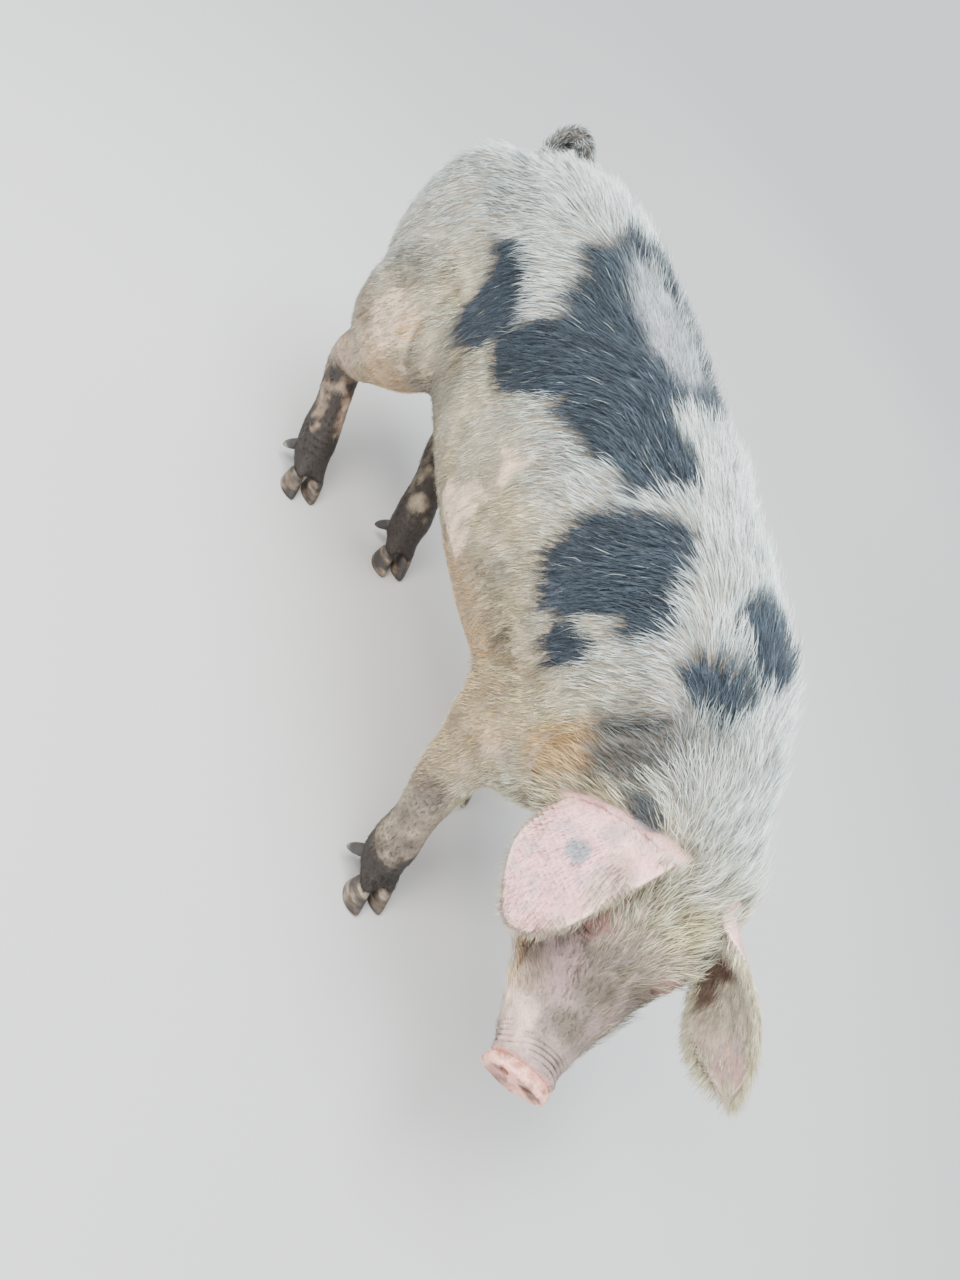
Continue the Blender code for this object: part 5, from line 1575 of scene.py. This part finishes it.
def coat_density(centres, ear_gap, controls, tail_points, eyes):
    """How many hairs grow on a square metre at each place."""
    per_area = blended(centres, controls[0], controls[2])[:, 2] * 1e4 * DENSITY
    bare = blots(centres, BARE_BLOTS, 0.4, 0.2, 29)
    bare = np.maximum(bare, 1.2 * scurf_share(centres))
    per_area *= 1 - 0.62 * np.clip(bare, 0, 1.2)
    per_area *= 1 - 0.70 * thin_share(centres)
    per_area[ear_gap < 0.006] = 0.0
    per_area[distance_to_path(centres, tail_points[3:]) < 0.022] = 0.0
    for _, eye, _ in eyes:
        gap = np.linalg.norm(centres - np.array(eye), axis=1)
        per_area[gap < 0.0175] = 0.0
        per_area[(gap >= 0.0175) & (gap < 0.026)] *= 0.2
        per_area[(gap >= 0.026) & (gap < 0.042)] *= 0.45
    across, ahead, above = in_head(centres).T
    per_area[(ahead > SNOUT_FRONT - 0.024) & (np.abs(across) < 0.08) & (above > -0.17)] = 0.0
    per_area[centres[:, 2] < 0.028] = 0.0
    return per_area


def body_hair(roots, normals, controls, chance):
    """Each hair's lie, sizes and colour, which hairs are underhair, and which grow long."""
    count = len(roots)
    ways, sizes = lie_of(roots, normals, controls, chance)
    usual_length, usual_lift, _, usual_width = sizes.T
    length = usual_length * chance.uniform(0.70, 1.12, count)
    lift = usual_lift * chance.uniform(0.7, 1.3, count) + 0.04
    width = usual_width * chance.uniform(0.70, 1.20, count)
    colours = hair_colour(roots, chance)
    wisp = chance.uniform(0, 1, count) < 0.16
    length[wisp] *= 1.40
    lift[wisp] += 0.10
    width[wisp] *= 0.85
    colours[wisp & (colours[:, 1] > 0.3)] *= 1.12
    shaggy = blots(roots, FACE_WISPS, 0.5, 0.2, 79)
    length = length + 0.024 * shaggy
    lift = lift + 0.35 * shaggy
    under = chance.uniform(0, 1, count) < 0.50
    length[under] *= 0.75
    width[under] *= 0.85
    lift[under] *= 0.8
    hair = {"roots": roots, "normals": normals, "ways": ways, "length": length, "lift": lift,
            "width": width, "colours": colours}
    return hair, under, usual_length


def grow_coat(skin, ear_gap, tail_points, eyes):
    """All pieces of the body's coat, in regions, each with underhair, short hair and mane."""
    chance = np.random.default_rng(7)
    controls = coat_controls()

    def density(centres, corners):
        return coat_density(centres, ear_gap[corners].min(axis=1), controls, tail_points, eyes)

    roots, normals = sampled(skin.data, density, chance)
    hair, under, usual_length = body_hair(roots, normals, controls, chance)
    _, ahead, _ = in_head(roots).T
    on_head_part = (ahead > -0.045) & (roots[:, 1] < -0.43)
    on_leg = (roots[:, 2] < 0.335) & ~on_head_part & (np.abs(normals[:, 2]) < 0.80)
    on_rear = (roots[:, 1] > 0.40) & ~on_leg & ~on_head_part
    on_front = (roots[:, 1] < -0.15) & ~on_leg & ~on_head_part
    rest = ~(on_head_part | on_leg | on_rear | on_front)
    long_hair = usual_length > 0.040
    under |= on_leg & (usual_length < 0.022)
    pieces = []
    groups = (
        ("coat_head", on_head_part, "body_coat"),
        ("coat_legs", on_leg, "leg_coat"),
        ("coat_rump", on_rear, "body_coat"),
        ("coat_shoulders", on_front, "body_coat"),
        ("coat_middle", rest, "body_coat"),
    )
    for name, mask, slot in groups:
        layers = (
            ("_under", mask & under, 1),
            ("", mask & ~under & ~long_hair, 3 if name == "coat_head" else 2),
            ("_mane", mask & ~under & long_hair, 3),
        )
        for word, chosen, rings in layers:
            if chosen.sum() >= FEWEST_IN_PIECE:
                part = {key: values[chosen] for key, values in hair.items()}
                add_coat(pieces, name + word, slot, part, rings, chance)
    return pieces


def ear_distance(points):
    """How near each point is to the ears' sheets, in metres."""
    out = np.full(len(points), 9.0)
    close = np.flatnonzero(np.linalg.norm(points - np.array(on_head(0.0, 0.06, -0.02)), axis=1) < 0.36)
    for name in EARS:
        form = ear(name)
        tree = surface_of(form)
        drop(form)
        for k in close:
            out[k] = min(out[k], tree.find_nearest(Vector(points[k]))[3])
    return out


# Each ear's hair: how many grow on the outer and inner side and in the fringe, and their sizes. Where the
# ear is yellow its hair is longer by the length named after it.
EAR_COATS = {
    "ear_right": {"outer": 3400, "inner": 2200, "fringe": 1500, "rings": 1, "length": 0.013, "longer": 0.010,
                  "lift": 0.13, "width": 0.0006, "fringe_length": 0.016, "fringe_width": 0.0006},
    "ear_left": {"outer": 5000, "inner": 6000, "fringe": 2400, "rings": 2, "length": 0.026, "longer": 0.0,
                 "lift": 0.20, "width": 0.0009, "fringe_length": 0.030, "fringe_width": 0.0010},
}


def rows_at(rows, share):
    """An ear's row at this share of its length, and the row before it."""
    i = min(int(np.searchsorted([row[4] for row in rows], share)), len(rows) - 1)
    return rows[i], rows[max(i - 1, 0)]


def ear_turn(front, back, angle):
    """The way out of an ear's back and the way across it, at this angle round its curl."""
    out = back * math.cos(angle) + front * math.sin(angle)
    return out, front * math.cos(angle) - back * math.sin(angle)


def grow_ear_side(pieces, name, word, side, chance):
    """Short hair over one side of an ear. side is 1 for the outer one and -1 for the inner one."""
    sizes = EAR_COATS[name]
    front, back, rows = ear_frame(name, 7)
    count = sizes[word]
    t = chance.uniform(0.02, 0.99, count)
    cross = chance.uniform(0.0, 1.0, count)
    roots, ways, out = (np.empty((count, 3)) for _ in range(3))
    for k in range(count):
        row, before = rows_at(rows, t[k])
        reach = -row[1] + (row[1] + row[2]) * cross[k]
        place = ear_place(front, back, row, reach)
        previous = ear_place(front, back, before, -before[1] + (before[1] + before[2]) * cross[k])
        normal, sideways = ear_turn(front, back, reach / row[3])
        roots[k] = place + normal * ((0.0018 + 0.0016 * (1 - t[k]) ** 1.5) * side)
        ways[k] = (place - previous).normalized() + sideways * ((cross[k] - 0.5) * 1.1)
        out[k] = normal * side
    ways = ways + chance.normal(0, 0.16, (count, 3))
    ways = unit(ways - out * (ways * out).sum(axis=1, keepdims=True))
    yellow = np.ones(count) if name == "ear_left" else yellow_share(roots)
    length = (sizes["length"] + sizes["longer"] * yellow) * chance.uniform(0.5, 1.3, count)
    lift = sizes["lift"] * chance.uniform(0.6, 1.5, count)
    width = sizes["width"] * chance.uniform(0.7, 1.3, count)
    colours = mixed(np.tile(EAR_HAIR, (count, 1)), EAR_LONG_HAIR, 0.9 * yellow)
    colours = colours * chance.uniform(0.75, 1.10, (count, 1))
    colours = mixed(colours, EAR_GREY, blots(roots, EAR_SPOTS))
    # Hair in the ears' hollows is painted dark too, as painted shade.
    colours = mixed(colours, HOLLOW_SHADE_SKIN, blots(roots, EAR_HOLLOW_SHADE))
    flat = np.stack([t, cross * 0.8 + (0.0 if side > 0 else 0.9)], axis=1)
    hair = {"roots": roots, "normals": out, "ways": ways, "length": length, "lift": lift,
            "width": width, "colours": colours}
    add_coat(pieces, f"coat_{name}_{word}", "ear_skin", hair, sizes["rings"], chance, flat, 0.2, 0.006)


def grow_ear_fringe(pieces, name, chance):
    """A pale fringe of longer hair along both edges of an ear."""
    sizes = EAR_COATS[name]
    front, back, rows = ear_frame(name, 7)
    count = sizes["fringe"]
    t = chance.uniform(0.10, 1.0, count)
    edge = np.where(chance.uniform(0, 1, count) < 0.5, 1.0, -1.0)
    roots, ways, out = (np.empty((count, 3)) for _ in range(3))
    for k in range(count):
        row, before = rows_at(rows, t[k])
        reach = edge[k] * ((row[2] if edge[k] > 0 else row[1]) - chance.uniform(0.0, 0.010))
        normal, sideways = ear_turn(front, back, reach / row[3])
        along = (row[0] - before[0]).normalized()
        roots[k] = ear_place(front, back, row, reach) + normal * chance.uniform(-0.001, 0.0016)
        ways[k] = (sideways * edge[k] * 0.6 + along * chance.uniform(0.6, 1.2)
                   + normal * chance.normal(0.05, 0.22))
        out[k] = normal
    length = sizes["fringe_length"] * chance.uniform(0.45, 1.25, count)
    width = sizes["fringe_width"] * chance.uniform(0.7, 1.3, count)
    colours = np.tile(FRINGE_HAIR, (count, 1)) * chance.uniform(0.8, 1.12, (count, 1))
    flat = np.stack([t, np.where(edge > 0, 0.0, 0.5) + chance.uniform(0, 0.4, count)], axis=1)
    hair = {"roots": roots, "normals": out, "ways": unit(ways), "length": length, "lift": np.zeros(count),
            "width": width, "colours": colours}
    add_coat(pieces, f"coat_{name}_fringe", "ear_skin", hair, sizes["rings"] + 1, chance, flat, 0.35, 0.010)


def grow_ears(pieces, chance):
    for name in EARS:
        grow_ear_side(pieces, name, "outer", 1.0, chance)
        grow_ear_side(pieces, name, "inner", -1.0, chance)
        grow_ear_fringe(pieces, name, chance)


def grow_tail(pieces, chance):
    """Dark hair all round the tail, longer towards its end."""
    path, radii = tail_path(TAIL_STEPS)
    count = TAIL_HAIRS
    t = chance.uniform(0.10, 1.0, count) ** 0.8
    roots, ways, out = (np.empty((count, 3)) for _ in range(3))
    turn = chance.uniform(0, 2 * math.pi, count)
    for k in range(count):
        i = min(int(t[k] * (len(path) - 2)), len(path) - 2)
        along = (path[i + 1] - path[i]).normalized()
        side = along.cross(LEFT).normalized()
        normal = side * math.cos(turn[k]) + along.cross(side) * math.sin(turn[k])
        roots[k] = path[i] + (path[i + 1] - path[i]) * chance.uniform(0, 1) + normal * radii[i] * 0.97
        ways[k] = along
        out[k] = normal
    ways = unit(ways + chance.normal(0, 0.10, ways.shape))
    length = (0.020 + 0.012 * t ** 2) * chance.uniform(0.7, 1.25, count)
    lift = 0.60 * chance.uniform(0.6, 1.4, count)
    width = 0.0010 * chance.uniform(0.7, 1.3, count)
    dark = chance.uniform(0, 1, (count, 1)) < 0.65
    # The pale hairs carry the white hair's painted sky reflection.
    hair = {"roots": roots, "normals": out, "ways": ways, "length": length, "lift": lift, "width": width,
            "colours": 0.8 * np.where(dark, GREY_HAIR, WHITE_HAIR_WITH_SKY_REFLECTION)}
    flat = np.stack([t, turn / (2 * math.pi)], axis=1)
    add_coat(pieces, "coat_tail", "tail_skin", hair, 3, chance, flat, 0.3, 0.01)


# Hooves and dewclaws. A hoof's rows are its level, half length, width and lead, as shares of its own sizes.
HOOF_ROWS = (
    (0.0, 0.45, 0.98, 0.10),
    (0.05, 0.475, 1.01, 0.10),
    (0.18, 0.50, 1.02, 0.10),
    (0.62, 0.42, 0.98, 0.02),
    (1.0, 0.34, 0.88, -0.06),
    (1.22, 0.22, 0.64, -0.10),
)
TOE_HALF_WIDTH = 0.020
TOE_HEIGHT = 0.036


def hoof(name, side, centre):
    """A claw with a flat sole at z 0, a domed front and a straight inner side."""
    rows = curve_through(HOOF_ROWS, 4)
    sides = 40
    points = []
    across = UP.cross(FORWARD).normalized()
    for level, half_length, width, lead in rows:
        for k in range(sides):
            angle = 2 * math.pi * k / sides
            c, s = math.cos(angle), math.sin(angle)
            pointed = 1.0 - 0.35 * max(0.0, s) ** 2
            inner = 0.82 if c * side < 0 else 1.0
            inner = 1.0 - (1.0 - inner) * min(1.0, abs(c) * 3)
            ring = 1.0 + 0.010 * math.sin(level * 26)
            x = c * TOE_HALF_WIDTH * width * pointed * inner * ring
            y = s * TOE_LENGTH * half_length * ring + lead * TOE_LENGTH
            points.append(Vector(centre) + across * x + FORWARD * y + UP * (max(level, 0.0) * TOE_HEIGHT))
    return solid(name, points, ring_faces(len(rows), sides))


def dewclaw(name, side, leg):
    fetlock, foot = (Vector(p) for p in LEGS[leg][3:5])
    root = fetlock.lerp(foot, 0.42) + Vector((side * 0.028, 0.032, 0.0))
    way = (foot - fetlock).normalized() * 0.55 + Vector((side * 0.30, 0.72, -0.30))
    way.normalize()
    steps = (-0.6, -0.4, -0.2, 0.0, 0.2, 0.4, 0.6, 0.75, 0.85, 0.94, 1.0)
    points = [root + way * (DEWCLAW_LENGTH * t) for t in steps]
    radii = [0.0100, 0.0108, 0.0113, 0.0115, 0.0114, 0.0106, 0.0094, 0.0078, 0.0062, 0.0042, 0.0022]
    return bead(name, points, radii, 5)


# Materials. These are the colours of the eyes, the horn and the floor.
IRIS = np.array((0.052, 0.026, 0.014))
PUPIL = np.array((0.006, 0.005, 0.005))
IRIS_EDGE = np.array((0.020, 0.012, 0.009))
EYE_WHITE = np.array((0.30, 0.22, 0.18))
BROWN_HORN = (0.13, 0.092, 0.062)
DARK_HORN = (0.060, 0.062, 0.064)
WORN_HORN = (0.44, 0.38, 0.29)
FLOOR_NEAR = (0.57, 0.56, 0.545)
FLOOR_FAR = (0.96, 0.95, 0.93)


def new_material(name):
    mat = bpy.data.materials.new(name)
    mat.use_nodes = True
    return mat, mat.node_tree.nodes, mat.node_tree.links, mat.node_tree.nodes["Principled BSDF"]


def set_inputs(node, **values):
    """Sets a node's inputs. An underscore stands for a space in an input's name."""
    for name, value in values.items():
        node.inputs[name.replace("_", " ")].default_value = value


def noise_node(nodes, links, scale, detail, stretch=None):
    """A noise texture in the object's own metres."""
    place = nodes.new("ShaderNodeTexCoord").outputs["Object"]
    if stretch:
        move = nodes.new("ShaderNodeMapping")
        set_inputs(move, Scale=stretch)
        links.new(place, move.inputs["Vector"])
        place = move.outputs["Vector"]
    noise = nodes.new("ShaderNodeTexNoise")
    set_inputs(noise, Scale=scale, Detail=detail)
    links.new(place, noise.inputs["Vector"])
    return noise.outputs["Fac"]


def ramp_node(nodes, links, source, stops):
    ramp = nodes.new("ShaderNodeValToRGB")
    links.new(source, ramp.inputs["Fac"])
    while len(ramp.color_ramp.elements) < len(stops):
        ramp.color_ramp.elements.new(0.5)
    for element, (place, colour) in zip(ramp.color_ramp.elements, stops):
        element.position = place
        element.color = (*colour, 1.0)
    return ramp.outputs["Color"]


def range_node(nodes, links, source, **values):
    scaled = nodes.new("ShaderNodeMapRange")
    set_inputs(scaled, **values)
    links.new(source, scaled.inputs["Value"])
    return scaled.outputs["Result"]


def bump_node(nodes, links, height, distance, strength):
    bump = nodes.new("ShaderNodeBump")
    set_inputs(bump, Distance=distance, Strength=strength)
    links.new(height, bump.inputs["Height"])
    return bump


def paint_marking(nodes, links, shader, noise=None, stops=None):
    """The markings as the shader's colour, and where a noise is given, times a tint that varies with it."""
    marking = nodes.new("ShaderNodeAttribute")
    marking.attribute_name = "marking"
    colour = marking.outputs["Color"]
    if noise:
        mix = nodes.new("ShaderNodeMix")
        mix.data_type = "RGBA"
        mix.blend_type = "MULTIPLY"
        set_inputs(mix, Factor=1.0)
        links.new(colour, mix.inputs["A"])
        links.new(ramp_node(nodes, links, noise, stops), mix.inputs["B"])
        colour = mix.outputs["Result"]
    links.new(colour, shader.inputs["Base Color"])


def skin_material():
    """Skin in its markings, finely mottled, with small cells and soft bumps."""
    mat, nodes, links, shader = new_material("sow_skin")
    mottle = noise_node(nodes, links, 260.0, 6.0)
    paint_marking(nodes, links, shader, mottle, ((0.30, (0.78, 0.75, 0.75)), (0.70, (1.20, 1.14, 1.12))))
    set_inputs(shader, Roughness=0.62, Specular_IOR_Level=0.32)
    cells = nodes.new("ShaderNodeTexVoronoi")
    cells.feature = "DISTANCE_TO_EDGE"
    set_inputs(cells, Scale=420.0)
    links.new(nodes.new("ShaderNodeTexCoord").outputs["Object"], cells.inputs["Vector"])
    pores = bump_node(nodes, links, cells.outputs["Distance"], 0.0012, 0.45)
    swells = bump_node(nodes, links, noise_node(nodes, links, 90.0, 5.0), 0.0020, 0.6)
    links.new(pores.outputs["Normal"], swells.inputs["Normal"])
    links.new(swells.outputs["Normal"], shader.inputs["Normal"])
    return mat


def hair_material():
    """Bristle in its markings, a little lighter and darker from place to place."""
    mat, nodes, links, shader = new_material("sow_hair")
    clouds = noise_node(nodes, links, 60.0, 3.0)
    paint_marking(nodes, links, shader, clouds, ((0.30, (0.84, 0.82, 0.79)), (0.65, (1.06, 1.06, 1.05))))
    set_inputs(shader, Roughness=0.48, Specular_IOR_Level=0.40)
    return mat


def horn_material(name, stops, stretch):
    """Horn in bands between the stops' colours, dull and glossy by turns."""
    mat, nodes, links, shader = new_material(name)
    bands = noise_node(nodes, links, 20.0, 6.0, (1.0, 1.0, stretch))
    links.new(ramp_node(nodes, links, bands, stops), shader.inputs["Base Color"])
    rough = range_node(nodes, links, noise_node(nodes, links, 70.0, 5.0), To_Min=0.38, To_Max=0.72)
    links.new(rough, shader.inputs["Roughness"])
    bump = bump_node(nodes, links, bands, 0.0012, 0.7)
    links.new(bump.outputs["Normal"], shader.inputs["Normal"])
    return mat


def eye_material():
    """A wet, glossy eye in its own colours."""
    mat, nodes, links, shader = new_material("sow_eye")
    paint_marking(nodes, links, shader)
    set_inputs(shader, Roughness=0.08, Coat_Weight=1.0, Coat_Roughness=0.03)
    return mat


def floor_material():
    """Pale grey, lighter and faintly glowing far out, where less of the lamps' light falls."""
    mat, nodes, links, shader = new_material("studio_floor")
    length = nodes.new("ShaderNodeVectorMath")
    length.operation = "LENGTH"
    links.new(nodes.new("ShaderNodeTexCoord").outputs["Object"], length.inputs[0])
    reach = length.outputs["Value"]
    share = range_node(nodes, links, reach, From_Min=2.5, From_Max=9.0)
    tint = ramp_node(nodes, links, share, ((0.0, FLOOR_NEAR), (1.0, FLOOR_FAR)))
    glow = range_node(nodes, links, reach, From_Min=3.0, From_Max=8.0, To_Max=0.16)
    links.new(tint, shader.inputs["Base Color"])
    links.new(glow, shader.inputs["Emission Strength"])
    set_inputs(shader, Roughness=0.85, Emission_Color=(1.0, 1.0, 1.0, 1.0))
    mat.cycles.emission_sampling = "NONE"
    return mat


def paint_eye(obj, centre, way):
    """A dark brown iris round a pupil, and a brown-grey white at the rim, by the angle off its gaze."""
    points = points_of(obj.data)
    facing = unit(points - np.array(centre)) @ np.array(way)
    angle = np.degrees(np.arccos(np.clip(facing, -1, 1)))
    colour = mixed(np.tile(IRIS, (len(points), 1)), PUPIL, smooth_step(19, 14, angle))
    colour = mixed(colour, IRIS_EDGE, np.exp(-((angle - 36) / 4.0) ** 2))
    store_colour(obj.data, mixed(colour, EYE_WHITE, smooth_step(37, 46, angle)))


def store_colour(mesh, colour):
    rgba = np.ones((len(colour), 4), np.float32)
    rgba[:, :3] = np.clip(colour, 0, 1)
    layer = mesh.color_attributes.new("marking", "FLOAT_COLOR", "POINT")
    layer.data.foreach_set("color", rgba.ravel())


def camera_matrix():
    at, to = CAMERA_AT + CENTRING, CAMERA_TO + CENTRING
    z = (at - to).normalized()
    x = UP.cross(z).normalized()
    y = z.cross(x)
    c, s = math.cos(CAMERA_ROLL), math.sin(CAMERA_ROLL)
    right, above = x * c + y * s, -x * s + y * c
    return Matrix.Translation(at) @ Matrix((right, above, z)).transposed().to_4x4()


def add_camera():
    data = bpy.data.cameras.new("photo_camera")
    data.sensor_fit = "VERTICAL"
    data.sensor_height = 36.0
    data.lens = CAMERA_LENS
    data.clip_end = 50.0
    camera = new_object("photo_camera", data)
    camera.matrix_world = camera_matrix()
    bpy.context.scene.camera = camera


def add_light(name, at, to, size, power, colour):
    data = bpy.data.lights.new(name, "AREA")
    data.shape = "DISK"
    data.size = size
    data.energy = power
    data.color = colour
    lamp = new_object(name, data)
    lamp.location = at
    lamp.rotation_euler = (Vector(to) - Vector(at)).to_track_quat("-Z", "Y").to_euler()


# Each light's place, the place it points at, its size, its power in watts and its colour.
LIGHTS = {
    "top": ((-0.4, 0.3, 3.6), (0, 0.05, 0.4), 2.6, 225, (0.90, 0.96, 1.0)),
    "key": ((-2.2, 0.2, 2.8), (0, 0, 0.4), 1.4, 118, (1.0, 0.98, 0.94)),
    "fill": ((-2.0, -3.2, 1.8), (0, -0.3, 0.4), 2.4, 72, (0.97, 0.98, 1.0)),
    "back": ((3.6, 2.6, 4.0), (0.8, 0.6, 0), 3.0, 130, (1.0, 1.0, 1.0)),
}
SKY_COLOUR = (0.86, 0.92, 1.0, 1.0)
SKY_STRENGTH = 0.95
FLOOR_REACH = 7.0
# The floor lies a hair's breadth under the soles.
FLOOR_LEVEL = -0.0005


def studio_floor():
    """A round floor whose edge rises all round in a quarter circle, as a bowl does."""
    rows = [(0.5 * FLOOR_REACH, 0.0), (FLOOR_REACH, 0.0)]
    for k in range(1, 18):
        turn = math.radians(5 * k)
        rows.append((FLOOR_REACH + FLOOR_REACH * math.sin(turn), FLOOR_REACH - FLOOR_REACH * math.cos(turn)))
    sides = 96
    points = []
    for radius, height in rows:
        for k in range(sides):
            angle = 2 * math.pi * k / sides
            points.append((radius * math.cos(angle), radius * math.sin(angle), height))
    faces = [face[::-1] for face in ring_faces(len(rows), sides)[:-1]]
    floor = new_object("studio_floor", mesh_from("studio_floor", points, faces))
    shade_smooth(floor.data)
    floor.location.z = FLOOR_LEVEL
    floor.data.materials.append(floor_material())
    return floor


def add_studio():
    studio_floor()
    world = bpy.data.worlds.new("studio")
    world.use_nodes = True
    set_inputs(world.node_tree.nodes["Background"], Color=SKY_COLOUR, Strength=SKY_STRENGTH)
    bpy.context.scene.world = world
    for name, settings in LIGHTS.items():
        add_light(name, *settings)


def finish_piece(obj, mat, slot, *nodes):
    """Gives a piece its material, and lets it ride on the part in place of its nodes. The slot is not used.
    """
    obj.data.materials.clear()
    obj.data.materials.append(mat)
    shade_smooth(obj.data)
    obj.data.transform(Matrix.Translation(CENTRING))
    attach(obj, "root")
    if nodes:
        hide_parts(*nodes)


def paint_skin(skin, ear_gap, tail_points):
    """Stores the skin's colour at each of its points."""
    points = points_of(skin.data)
    ear_share = smooth_step(0.012, 0.003, ear_gap)
    tail_share = smooth_step(0.030, 0.018, distance_to_path(points, tail_points[3:]))
    store_colour(skin.data, skin_colour(points, hollows(skin.data), ear_share, tail_share))


def add_hooves():
    """Every toe and dewclaw, each in place of its own node."""
    mud = tuple(MUD)
    pale = horn_material("horn_pale", ((0.46, mud), (0.57, BROWN_HORN), (0.72, WORN_HORN)), 3.0)
    dark = horn_material("horn_dark", ((0.45, mud), (0.60, DARK_HORN), (0.72, WORN_HORN)), 2.0)
    for leg in LEGS:
        for toe, side, centre in foot_places(leg):
            claw = toe.replace("toe", "dewclaw")
            finish_piece(hoof(toe + "_horn", side, centre), pale, "horn_pale", toe)
            finish_piece(dewclaw(claw + "_horn", side, leg), dark, "horn_dark", claw)


def main():
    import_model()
    skin, eyes = build_skin()
    add_camera()
    add_studio()
    ear_gap = ear_distance(points_of(skin.data))
    tail_points, _ = tail_path(TAIL_STEPS)
    paint_skin(skin, ear_gap, tail_points)
    pieces = grow_coat(skin, ear_gap, tail_points, eyes)
    chance = np.random.default_rng(19)
    grow_ears(pieces, chance)
    grow_tail(pieces, chance)
    hair = hair_material()
    for obj, slot in pieces:
        finish_piece(obj, hair, slot)
    flesh = ("torso", "neck", "head", "ear_left", "ear_right", "tail", *LEGS)
    finish_piece(skin, skin_material(), "body_coat", *flesh)
    wet = eye_material()
    for (_, centre, way), word in zip(eyes, ("right", "left")):
        obj = ball(f"eye_{word}_ball", centre, (EYE_RADIUS,) * 3, segments=48, rings=32)
        paint_eye(obj, centre, way)
        finish_piece(obj, wet, "eyeball", f"eye_{word}")
    add_hooves()


main()
